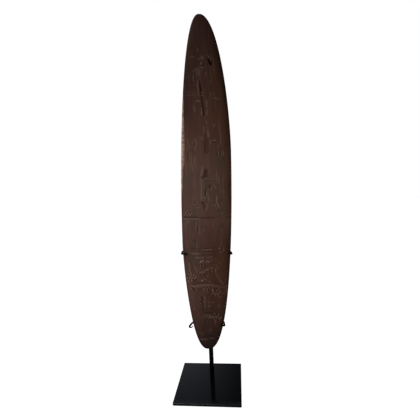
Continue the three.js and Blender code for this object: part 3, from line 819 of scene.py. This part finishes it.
def tint_shield(piece):
    """Stores on each point how pale or dark the cuts, how worn the rim, and the wood's tone from
    handling with painted light and shade.
    """
    x, y, z = coordinates(piece)
    cross = section(np.clip(z / SHIELD_LENGTH, 1e-4, 1 - 1e-4))
    u = np.clip((x - cross["middle"]) / np.maximum(cross["half"], 1e-3), -1, 1)
    front = y < -cross["back"] - cross["edge"]
    store(piece, "pale", np.where(front, read_field(pale, x, z), 0))
    store(piece, "dark", np.where(front, read_field(dark, x, z), 0))
    inward = cross["half"] * (1 - np.abs(u)) / np.interp(z, *RIM_REACH)
    left = unit(1.5 - inward) * (u < 0) * between(z, 372, 396) * (z < RIM_REACH[0][-1])
    right = 0.95 * between(u, 0.955, 0.985) * between(z, 300, 350) * between(z, 450, 400)
    store(piece, "worn", left + right)
    # Painted light and shade: the tone falls off towards both tips and darkens at the rim where the
    # crown turns from the light, and the side tables paint light and shade on the left and the right; a
    # band at the right is made darker
    handled_and_painted_light = np.interp(z, *HANDLED_AND_PAINTED_LIGHT) - 0.35 * between(np.abs(u), 0.8, 1)
    handled_and_painted_light += unit(-u) * np.interp(z, *LEFT_PAINTED_LIGHT) + unit(u) ** 2 * np.interp(z, *RIGHT_PAINTED_LIGHT)
    handled_and_painted_light -= between(u, 0.66, 0.76) * np.interp(z, *RIGHT_BAND_DARKENING)
    store(piece, "patina_and_painted_light", unit(handled_and_painted_light / MOST_HANDLED_AND_PAINTED_LIGHT))
    amber = np.maximum(between(u, -0.2, 0.5), between(z, 600, 670))
    store(piece, "amber", amber * np.interp(z, *AMBER))


def shield():
    piece = joined(board(), grip(), "UNION", "MANIFOLD")
    triangles = sum(len(p.vertices) - 2 for p in piece.data.polygons)
    if triangles > MOST_FACES:
        modify(piece, "DECIMATE", ratio=MOST_FACES / triangles)
    tint_shield(piece)
    placed(piece, SHIELD)
    piece.name = "shield_wood"
    smooth(piece, 50)
    return piece


# Materials, their places and bumps in metres
class Nodes:
    """A short way to write the node tree of a material or of the world."""

    def __init__(self, owner, output="ShaderNodeOutputMaterial"):
        owner.use_nodes = True
        self.owner = owner
        self.tree = owner.node_tree
        self.tree.nodes.clear()
        self.output = self.add(output)

    def add(self, kind, sockets=None, **settings):
        node = self.tree.nodes.new(kind)
        for key, value in settings.items():
            setattr(node, key, value)
        for key, value in (sockets or {}).items():
            self.put(node.inputs[key], value)
        return node

    def put(self, socket, value):
        if isinstance(value, bpy.types.NodeSocket):
            self.tree.links.new(value, socket)
        elif socket.type == "RGBA":
            socket.default_value = (*value, 1)
        else:
            socket.default_value = value

    def place(self, stretch=(1, 1, 1)):
        spots = self.add("ShaderNodeTexCoord").outputs["Object"]
        return self.add("ShaderNodeMapping", {"Vector": spots, "Scale": stretch}).outputs["Vector"]

    def axis(self, name, spots=None):
        return self.add("ShaderNodeSeparateXYZ", {"Vector": spots or self.place()}).outputs[name]

    def noise(self, scale, detail, rough=0.5, stretch=(1, 1, 1), warp=0.0):
        return self.add("ShaderNodeTexNoise", {
            "Vector": self.place(stretch), "Scale": scale, "Detail": detail, "Roughness": rough,
            "Distortion": warp}).outputs["Fac"]

    def ramp(self, value, *stops):
        node = self.add("ShaderNodeValToRGB", {"Fac": value})
        places = node.color_ramp.elements
        while len(places) < len(stops):
            places.new(0.5)
        for element, (position, colour) in zip(places, stops):
            element.position = position
            element.color = (*colour, 1)
        return node.outputs["Color"]

    def span(self, value, low, high, to_low, to_high, curve="LINEAR"):
        return self.add("ShaderNodeMapRange", {
            "Value": value, "From Min": low, "From Max": high, "To Min": to_low, "To Max": to_high,
        }, interpolation_type=curve).outputs["Result"]

    def mix(self, factor, first, second, blend="MIX"):
        return self.add("ShaderNodeMix", {"Factor": factor, 6: first, 7: second},
                        data_type="RGBA", blend_type=blend).outputs[2]

    def tinted(self, colour, *tints):
        """The colour times each of the tints."""
        for tint in tints:
            colour = self.mix(1.0, colour, tint, "MULTIPLY")
        return colour

    def math(self, operation, first, second, clamp=False):
        return self.add("ShaderNodeMath", {0: first, 1: second},
                        operation=operation, use_clamp=clamp).outputs["Value"]

    def times(self, first, second):
        return self.math("MULTIPLY", first, second)

    def attribute(self, name):
        return self.add("ShaderNodeAttribute", attribute_name=name).outputs["Fac"]

    def either(self, factor, first, second):
        return self.add("ShaderNodeMixShader", {"Fac": factor, 1: first, 2: second}).outputs["Shader"]

    def bump(self, height, distance, strength, under=None):
        sockets = {"Strength": strength, "Distance": distance, "Height": height}
        if under:
            sockets["Normal"] = under
        return self.add("ShaderNodeBump", sockets).outputs["Normal"]

    def shown(self, surface):
        self.put(self.output.inputs["Surface"], surface)
        return self.owner

    def finish(self, colour, rough, normal, **sockets):
        named = {key.replace("_", " "): value for key, value in sockets.items()}
        return self.shown(self.add("ShaderNodeBsdfPrincipled", {
            "Base Color": colour, "Roughness": rough, "Normal": normal, **named}).outputs["BSDF"])


def new_material(name):
    return Nodes(bpy.data.materials.new(name))


# The wood's tone runs from the dull tips, darkened also by painted shade, to the middle that handling
# has worn and painted light brightens
DULL_AND_SHADED_WOOD = (0.0185, 0.0088, 0.0071)
DARK_WOOD = (0.0455, 0.0228, 0.0170)
HANDLED_AND_LIT_WOOD = (0.0610, 0.0372, 0.0312)
WORN_WOOD = (0.252, 0.172, 0.130)
DUSTY_AND_LIT_CUT = (0.19, 0.130, 0.105)
SHADOW_CUT = (0.0095, 0.0027, 0.0012)
AMBER_TINT = (1.0, 0.94, 0.8)
LOW_TIP_TINT = (0.88, 0.99, 1.12)


def wood_material():
    n = new_material("dark_hardwood")
    fine = n.noise(520, 6, 0.6, (1, 1, 0.05))
    streaks = n.noise(110, 5, 0.55, (1, 1, 0.07), warp=0.4)
    patches = n.noise(17, 4, 0.5, (1, 1, 0.5))
    hues = n.noise(31, 2, 0.5, (1, 1, 0.6))
    # Tone from handling together with painted light and shade along and across the shield
    colour = n.ramp(n.attribute("patina_and_painted_light"), (0, DULL_AND_SHADED_WOOD), (0.636, DARK_WOOD), (1, HANDLED_AND_LIT_WOOD))
    colour = n.tinted(colour, n.ramp(patches, (0.32, (0.85, 0.92, 0.93)), (0.68, (1.17, 0.99, 0.95))),
                      n.ramp(hues, (0.36, (1.05, 0.97, 0.98)), (0.64, (0.96, 1.03, 0.96))))
    colour = n.mix(n.attribute("amber"), colour, n.tinted(colour, AMBER_TINT))
    colour = n.mix(n.span(n.axis("Z"), 0.1, 0.145, 1, 0), colour, n.tinted(colour, LOW_TIP_TINT))
    colour = n.tinted(colour, n.ramp(streaks, (0.3, (0.87, 0.86, 0.85)), (0.7, (1.13, 1.13, 1.13))),
                      n.ramp(fine, (0.35, (0.84, 0.83, 0.82)), (0.6, (1.06, 1.06, 1.06))))
    worn = n.times(n.attribute("worn"), n.span(n.noise(190, 4, 0.6), 0.4, 0.56, 0.3, 1))
    colour = n.mix(worn, colour, WORN_WOOD)
    # Pale dust in the cuts with a painted highlight, then the painted shade of cuts and cracks
    dust_and_highlight = n.times(n.attribute("pale"), n.span(n.noise(260, 3, 0.6), 0.3, 0.6, 0.7, 1.0))
    colour = n.mix(dust_and_highlight, colour, DUSTY_AND_LIT_CUT)
    colour = n.mix(n.attribute("dark"), colour, SHADOW_CUT)
    rough = n.span(streaks, 0.3, 0.7, 0.58, 0.72)
    rough = n.math("ADD", rough, n.times(n.attribute("dark"), 0.35), clamp=True)
    normal = n.bump(streaks, 0.0005, 0.2, under=n.bump(fine, 0.0003, 0.4))
    return n.finish(colour, rough, normal, Specular_IOR_Level=0.03)


def satin_paint():
    """The plate's top: duller near its front, with a highlight painted along its edge where its
    attribute says so.
    """
    n = new_material("satin_black_paint")
    cloud = n.noise(30, 3)
    colour = n.ramp(cloud, (0.3, (0.0006, 0.0007, 0.0009)), (0.7, (0.0012, 0.0013, 0.0016)))
    painted_edge_highlight = n.times(n.attribute("painted_edge_highlight"), n.span(n.noise(60, 3), 0.35, 0.6, 0.7, 1))
    # The painted highlight along the plate's edge
    colour = n.mix(painted_edge_highlight, colour, (0.13, 0.134, 0.138))
    dull = n.span(n.axis("Y"), -0.076, -0.062, 0.3, 0)
    rough = n.math("ADD", n.span(cloud, 0.3, 0.7, 0.1, 0.15), dull)
    return n.finish(colour, rough, n.bump(n.noise(1400, 2), 0.00003, 0.2), Specular_IOR_Level=0.17)


def plain_finish(name, noise, dim, bright, rough, bump, **sockets):
    """A finish whose colour and gloss both follow one noise."""
    n = new_material(name)
    cloud = n.noise(*noise)
    colour = n.ramp(cloud, (0.3, dim), (0.7, bright))
    return n.finish(colour, n.span(cloud, 0.3, 0.7, *rough), n.bump(cloud, *bump), **sockets)


def matt_paint():
    n = new_material("matt_black_paint")
    cloud = n.noise(45, 4, 0.55)
    colour = n.ramp(cloud, (0.3, (0.0007, 0.0006, 0.0006)), (0.7, (0.0013, 0.0011, 0.0011)))
    rough = n.span(cloud, 0.3, 0.7, 0.3, 0.42)
    return n.finish(colour, rough, n.bump(n.noise(1600, 3, 0.6), 0.00004, 0.3), Specular_IOR_Level=0.03)


def plain_steel():
    return plain_finish("zinc_steel", (260, 4, 0.6), (0.24, 0.24, 0.25), (0.38, 0.38, 0.38),
                        (0.28, 0.45), (0.0001, 0.4), Metallic=0.95)


def tubing():
    return plain_finish("black_tubing", (700, 3), (0.0018, 0.0018, 0.0018), (0.0032, 0.0032, 0.0032),
                        (0.55, 0.7), (0.0001, 0.3), Specular_IOR_Level=0.03)


def felt():
    n = new_material("black_felt")
    hairs = n.noise(900, 6, 0.7, (1, 1, 0.5), warp=1.5)
    colour = n.ramp(hairs, (0.3, (0.006, 0.006, 0.0065)), (0.72, (0.022, 0.022, 0.023)))
    return n.finish(colour, 0.95, n.bump(hairs, 0.0005, 0.9), Sheen_Weight=0.3, Specular_IOR_Level=0.2)


# Stand

# How far edges are softened, and how far a cutter runs past the face that it opens
FELT_EDGE, WRAP_EDGE, GRUB_EDGE, BORE_EDGE = 0.15, 0.4, 0.35, 0.2
PAST = 2.0
CORNER_STEPS = 6


def circle(radius, height, sides):
    if radius == 0:
        return [(0, 0, height)]
    turns = [2 * math.pi * i / sides for i in range(sides)]
    return [(radius * math.cos(a), radius * math.sin(a), height) for a in turns]


def lathe(name, profile, sides=64):
    """A form turned about Z from (radius, height) pairs in millimetres.

    The profile runs from the axis to the axis, or round to its own start.
    """
    closed = profile[0] == profile[-1]
    return loft(name, [circle(r, h, sides) for r, h in (profile[:-1] if closed else profile)], closed)


def plug(radius, bottom, top, sides=64):
    """A plain round form to cut a hole with."""
    return lathe("plug", [(0, bottom), (radius, bottom), (radius, top), (0, top)], sides)


def round_edge(radius, height, size, steps=5):
    """Points of a rounded rim on a turned form, from its side to its end."""
    angles = [i * math.pi / 2 / steps for i in range(steps + 1)]
    return [(radius - size + size * math.cos(a), height - size + size * math.sin(a)) for a in angles]


def round_side(radius, bottom, top, size, steps=5):
    """Points up the side of a turned form, both rims rounded."""
    upper = round_edge(radius, top, size, steps)
    return [(r, bottom + top - h) for r, h in reversed(upper)] + upper


def rod(name, radius, bottom, top, edge, sides=64):
    return lathe(name, [(0, bottom), *round_side(radius, bottom, top, edge), (0, top)], sides)


def bush(name, bore, radius, bottom, top, edge, sides):
    side = round_side(radius, bottom, top, edge)
    return lathe(name, [(bore, bottom), *side, (bore, top), (bore, bottom)], sides)


def dress(piece, node, body, material):
    """Names a piece after its node, gives it its finish and lets it stand for the node."""
    piece.name = node + "_look"
    piece.data.materials.append(material)
    smooth(piece, 35)
    modify(piece, "WEIGHTED_NORMAL", keep_sharp=True)
    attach(piece, body)
    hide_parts(node)
    return piece


def slab(name, side, corner, bottom, top, edge):
    """A square plate with rounded corners and softened edges."""
    half = side / 2
    outline = []
    for turn in range(4):
        for i in range(CORNER_STEPS + 1):
            angle = (turn + i / CORNER_STEPS) * math.pi / 2
            outline.append(((half - corner) * (1 if turn in (0, 3) else -1) + corner * math.cos(angle),
                            (half - corner) * (1 if turn in (0, 1) else -1) + corner * math.sin(angle)))
    return loft(name, [
        [(x * r / half, y * r / half, height) for x, y in outline]
        for r, height in round_side(half, bottom, top, edge, steps=4)
    ])


def base_plate():
    plate = slab("plate", BASE_SIDE, BASE_CORNER, FELT_THICKNESS, PLATE_TOP, BASE_CHAMFER)
    clear, head = SCREW_RADIUS + SEAT_GAP, SCREW_HEAD_RADIUS + SEAT_GAP
    seat = FELT_THICKNESS + SEAT_GAP
    hole = lathe("hole", [(0, 0), (head, 0), (head, seat), (clear, seat + SCREW_HEAD_HEIGHT),
                          (clear, PLATE_TOP + PAST), (0, PLATE_TOP + PAST)])
    return cut_out(plate, placed(hole, POST_PLACE))


def finish_plate(plate, edge_paint):
    """Matt paint on the plate's upright edges, and a faint highlight painted along its top edge,
    strongest at the front left.
    """
    plate.data.materials.append(edge_paint)
    for face in plate.data.polygons:
        face.material_index = int(abs(face.normal.z) < 0.3)
    x, y, z = coordinates(plate)
    half = BASE_SIDE / 2
    on_corner = (z > PLATE_TOP - 0.8 * BASE_CHAMFER) & (z < PLATE_TOP - 0.1 * BASE_CHAMFER)
    in_front = between(y, -half + 2 * BASE_CHAMFER, -half + BASE_CHAMFER)
    leftward = np.interp(x / half, [-1, -0.3, 0.1, 0.3, 1], [1, 1, 0.9, 0.1, 0.05])
    # A highlight painted along the top edge, faint all round and strongest at the front left
    store(plate, "painted_edge_highlight", on_corner * (0.08 + in_front * leftward))


def base_screw():
    bottom = FELT_THICKNESS + SEAT_GAP
    top = PLATE_TOP + SCREW_REACH
    screw = lathe("screw", [(0, bottom), (SCREW_HEAD_RADIUS, bottom),
                            (SCREW_RADIUS, bottom + SCREW_HEAD_HEIGHT), (SCREW_RADIUS, top), (0, top)])
    slot = bmesh.new()
    bmesh.ops.create_cube(slot, size=MM)
    bmesh.ops.scale(slot, verts=slot.verts, vec=(
        2 * SCREW_HEAD_RADIUS + PAST, SCREW_SLOT_WIDTH, 2 * SCREW_SLOT_DEPTH))
    bmesh.ops.translate(slot, verts=slot.verts, vec=(0, 0, bottom * MM))
    return placed(cut_out(screw, form_object("slot", slot)), POST_PLACE)


def post():
    tapped = SCREW_RADIUS + SEAT_GAP
    tapped_top = PLATE_TOP + SCREW_REACH + SEAT_GAP
    bore = STEM_RADIUS + SEAT_GAP
    floor = STEM_BOTTOM - SEAT_GAP
    bar = lathe("bar", [
        (0, tapped_top), (tapped, tapped_top), (tapped, PLATE_TOP), (POST_RADIUS, PLATE_TOP),
        *round_edge(POST_RADIUS, POST_TOP, POST_CHAMFER), (bore + BORE_EDGE, POST_TOP),
        (bore, POST_TOP - BORE_EDGE), (bore, floor), (0, floor),
    ])
    hole = plug(GRUB_RADIUS + SEAT_GAP, 0, POST_RADIUS + PAST, sides=32)
    placed(hole, Matrix.Translation((0, 0, POST_TOP - GRUB_BELOW_TOP)) @ BACKWARD)
    return placed(cut_out(bar, hole), POST_PLACE)


def grub_screw():
    end = POST_RADIUS + GRUB_PROUD
    screw = rod("grub", GRUB_RADIUS, STEM_RADIUS + SEAT_GAP, end, GRUB_EDGE, sides=32)
    socket = plug(GRUB_SOCKET_ACROSS / math.sqrt(3), end - GRUB_SOCKET_DEPTH, end + PAST, sides=6)
    cut_out(screw, socket)
    return placed(screw, POST_PLACE @ Matrix.Translation((0, 0, POST_TOP - GRUB_BELOW_TOP)) @ BACKWARD)


def bar_place(level):
    tilt = Matrix.Rotation(BAR_TILT[level], 4, "Y")
    return CRADLE @ Matrix.Translation((0, BAR_Y, BAR_Z[level])) @ tilt


def stem():
    bar = rod("stem", STEM_RADIUS, STEM_BOTTOM, BAR_Z["upper"] + STEM_ABOVE_BAR, STEM_CHAMFER)
    for level in ("lower", "upper"):
        notch = plug(BAR_RADIUS + SEAT_GAP, -2 * STEM_RADIUS, 2 * STEM_RADIUS, sides=48)
        cut_out(bar, placed(notch, CRADLE.inverted() @ bar_place(level) @ SIDEWAYS))
    return placed(bar, CRADLE)


def crossbar(level):
    half, bore = BAR_LENGTH[level] / 2, WIRE_RADIUS + SEAT_GAP
    bar = bush("crossbar", bore, BAR_RADIUS, -half, half, (BAR_RADIUS - bore) / 3, sides=40)
    return placed(bar, bar_place(level) @ SIDEWAYS)


def felt_wrap(level, side):
    """Felt wound round the crossbar, its ends softened."""
    piece = bush("wrap", BAR_RADIUS + SEAT_GAP, WRAP_RADIUS, 0, WRAP_LENGTH, WRAP_EDGE, sides=48)
    start = Matrix.Translation((side * (STEM_RADIUS + WRAP_FROM_STEM), 0, 0))
    return placed(piece, bar_place(level) @ start @ Matrix.Rotation(side * math.pi / 2, 4, "Y"))


# Hooks follow the paths of the CAD, drawn finer
def edge_beside_post(side, height):
    along = (height - FOOT_Z) / math.cos(SHIELD_LEAN)
    axis = (height - FOOT_Z) * math.tan(SHIELD_LEAN) - FOOT_LEFT_OF_POST
    return abs(axis + side * float(bulge(side, along / SHIELD_LENGTH)) / math.cos(SHIELD_LEAN))


def front_ahead_of_bar(height, inside):
    cross = section((height - FOOT_Z) / math.cos(SHIELD_LEAN) / SHIELD_LENGTH)
    half = float(cross["half"])
    u = 1 - min(inside, half) / half
    return -float(face_depth(cross, u, -1)) - SHIELD_BACK_Y + BAR_Y


def hook_corners(hook, level):
    side, lip, curl, dip = hook.side, hook.lip, hook.curl, hook.dip
    height = BAR_Z[level]
    height -= side * math.tan(BAR_TILT[level]) * edge_beside_post(side, height)
    clear = SEAT_GAP + SLEEVE_RADIUS
    beside = edge_beside_post(side, height) + clear + hook.stand_off
    depth = front_ahead_of_bar(height, lip) + clear + hook.slack
    tip = beside + hook.flare
    corners = [
        (BAR_LENGTH[level] / 2 - WIRE_INSERT, 0),
        (beside - hook.tuck, 0),
        (beside - hook.tuck, -hook.heel),
        (beside, -front_ahead_of_bar(height, 0)),
        (tip, -depth + dip),
        (tip - lip / 2, -depth + curl / 2 - dip),
        (tip - lip, -depth + curl),
    ]
    if not hook.heel:
        corners.pop(2)
    return [Vector((side * across, forward, 0)) for across, forward in corners]


def along_straight(start, end, stride=2.0):
    """Points inside a straight, about a stride apart."""
    count = int((end - start).length / stride)
    return [start.lerp(end, (i + 1) / (count + 1)) for i in range(count)]


def rounded_path(corners, rounding, steps=8):
    """Points of the path, each corner a curve over the given length of its two straights."""
    path = [corners[0]]
    for before, at, after in zip(corners, corners[1:], corners[2:]):
        back, on = before - at, after - at
        reach = min(rounding, back.length / 2, on.length / 2)
        enter, leave = at + back.normalized() * reach, at + on.normalized() * reach
        path += along_straight(path[-1], enter)
        path += [(1 - t) ** 2 * enter + 2 * (1 - t) * t * at + t * t * leave
                 for t in (i / steps for i in range(steps + 1))]
    path += [*along_straight(path[-1], corners[-1]), corners[-1]]
    distinct = path[:1]
    for point in path[1:]:
        if (point - distinct[-1]).length > 0.01:
            distinct.append(point)
    return distinct


def trimmed(path, start):
    """The path from a distance along it."""
    gone = 0.0
    for i, (a, b) in enumerate(zip(path, path[1:])):
        run = (b - a).length
        if gone + run > start:
            return [a.lerp(b, (start - gone) / run), *path[i + 1:]]
        gone += run
    return path


def sleeve_path(path, key):
    """The part of a hook's path that its sleeve covers; the lower left hook's tip is bare."""
    covered = trimmed(path, WIRE_INSERT + SEAT_GAP)
    return trimmed(covered[::-1], BARE_TIP)[::-1] if key == "lower_left" else covered


def tube(name, path, radius, bore=0.0, sides=20):
    """A solid wire in the plane of its path, or a tube if it has a bore."""
    befores, afters = [path[0], *path[:-1]], [*path[1:], path[-1]]
    outwards = [Vector((b.y - a.y, a.x - b.x, 0)).normalized() for a, b in zip(befores, afters)]
    turns = [2 * math.pi * i / sides for i in range(sides)]

    def rings(r):
        return [[centre + r * (math.cos(a) * outward + math.sin(a) * Vector((0, 0, 1))) for a in turns]
                for centre, outward in zip(path, outwards)]

    return loft(name, rings(radius) + (rings(bore)[::-1] if bore else []), closed=bool(bore))


def build_stand():
    satin, matt, steel, cloth, rubber = satin_paint(), matt_paint(), plain_steel(), felt(), tubing()
    sheet = slab("felt", BASE_SIDE - 2 * FELT_INSET, BASE_CORNER, 0, FELT_THICKNESS, FELT_EDGE)
    dress(sheet, "base_felt", "stand", cloth)
    finish_plate(dress(base_plate(), "base_plate", "stand", satin), matt)
    dress(base_screw(), "base_screw", "stand", steel)
    dress(post(), "post", "stand", matt)
    dress(grub_screw(), "grub_screw", "stand", steel)
    dress(stem(), "stem", "cradle", matt)
    for level in ("lower", "upper"):
        dress(crossbar(level), f"{level}_crossbar", "cradle", matt)
        for side_name in ("left", "right"):
            key = f"{level}_{side_name}"
            hook = HOOKS[key]
            path = rounded_path(hook_corners(hook, level), WIRE_BEND)
            wire = placed(tube("wire", path, WIRE_RADIUS), bar_place(level))
            dress(wire, f"{key}_hook", "cradle", matt)
            fuller = SLEEVE_RADIUS + hook.swell
            sleeve = tube("sleeve", sleeve_path(path, key), fuller, WIRE_RADIUS + SEAT_GAP)
            dress(placed(sleeve, bar_place(level)), f"{key}_sleeve", "cradle", rubber)
            dress(felt_wrap(level, hook.side), f"{key}_wrap", "cradle", cloth)


def build_shield():
    carve()
    piece = shield()
    piece.data.materials.clear()
    piece.data.materials.append(wood_material())
    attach(piece, "shield")
    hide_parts("shield_body")


# Camera, floor and light
CAMERA_PLACE = Vector((84.2, -688.9, 483.0)) * MM
CAMERA_YAW, CAMERA_PITCH, CAMERA_ROLL = (math.radians(a) for a in (5.49, -4.77, 2.43))
CAMERA_LENS = 25.72
SENSOR = 36.0

# The floor and the lamp are in metres
FLOOR_HALF = 6.0
FLOOR_WHITENESS = 0.88
FLOOR_GLOW = 1.13
WALL_TINT = (0.92, 1.0, 1.15)
LAMP_PLACE = Vector((-0.85, -1.1, 1.25))
LAMP_TARGET = Vector((0, 0, 0.45))
LAMP_SIZE = (1.4, 1.2)
LAMP_WATTS = 27.5


def add_camera():
    data = bpy.data.cameras.new("photo_camera")
    data.lens = CAMERA_LENS
    data.sensor_width = SENSOR
    camera = add_object("photo_camera", data)
    turn = (Matrix.Rotation(CAMERA_YAW, 4, "Z") @ Matrix.Rotation(CAMERA_PITCH, 4, "X")
            @ Matrix.Rotation(CAMERA_ROLL, 4, "Y") @ Matrix.Rotation(math.pi / 2, 4, "X"))
    camera.matrix_world = Matrix.Translation(CAMERA_PLACE) @ turn
    bpy.context.scene.camera = camera


def add_floor():
    a = FLOOR_HALF
    floor = mesh_object("floor", [(-a, -a, 0), (a, -a, 0), (a, a, 0), (-a, a, 0)], [(0, 1, 2, 3)])
    n = new_material("pale_floor")
    paper = n.ramp(n.noise(3, 3), (0.3, (0.78, 0.78, 0.775)), (0.7, (0.82, 0.82, 0.815)))
    matt = n.add("ShaderNodeBsdfDiffuse", {"Color": paper}).outputs["BSDF"]
    glow = n.add("ShaderNodeEmission", {"Strength": FLOOR_GLOW}).outputs["Emission"]
    ray = n.add("ShaderNodeLightPath").outputs
    mirrored_or_through = n.math("MAXIMUM", ray["Is Glossy Ray"], ray["Is Transmission Ray"])
    seen = n.math("MAXIMUM", ray["Is Camera Ray"], mirrored_or_through)
    floor.data.materials.append(n.shown(n.either(n.times(seen, FLOOR_WHITENESS), matt, glow)))


def add_world():
    """White where it is seen. Its light is stronger from the left, and gloss shows a pale wall."""
    n = Nodes(bpy.data.worlds.new("studio"), "ShaderNodeOutputWorld")
    ray = n.add("ShaderNodeLightPath").outputs
    way = n.add("ShaderNodeTexCoord").outputs["Generated"]

    def fade(axis, start, end, low, high):
        return n.span(n.axis(axis, way), start, end, low, high, "SMOOTHSTEP")

    def background(strength, colour=(1, 1, 1)):
        sockets = {"Color": colour, "Strength": strength}
        return n.add("ShaderNodeBackground", sockets).outputs["Background"]

    wall = n.times(fade("Z", 0.3, 0.68, 1, 0.22), fade("X", -0.17, 0.03, 1, 0.08))
    wall = n.times(wall, fade("Y", 0.1, 0.6, 0.05, 1))
    soft = n.times(fade("X", -0.7, 0.5, 0.5, 0.15), fade("Y", 0, 0.8, 1, 2.6))
    light = n.either(ray["Is Glossy Ray"], background(soft), background(wall, WALL_TINT))
    direct = n.math("MAXIMUM", ray["Is Camera Ray"], ray["Is Transmission Ray"])
    bpy.context.scene.world = n.shown(n.either(direct, light, background(1.0)))


def add_light():
    data = bpy.data.lights.new("key", "AREA")
    data.shape = "RECTANGLE"
    data.size, data.size_y = LAMP_SIZE
    data.energy = LAMP_WATTS
    lamp = add_object("key", data)
    lamp.location = LAMP_PLACE
    lamp.rotation_euler = (LAMP_TARGET - LAMP_PLACE).to_track_quat("-Z", "Y").to_euler()


build_stand()
build_shield()
add_camera()
add_floor()
add_world()
add_light()
bpy.context.scene.view_settings.view_transform = "Standard"
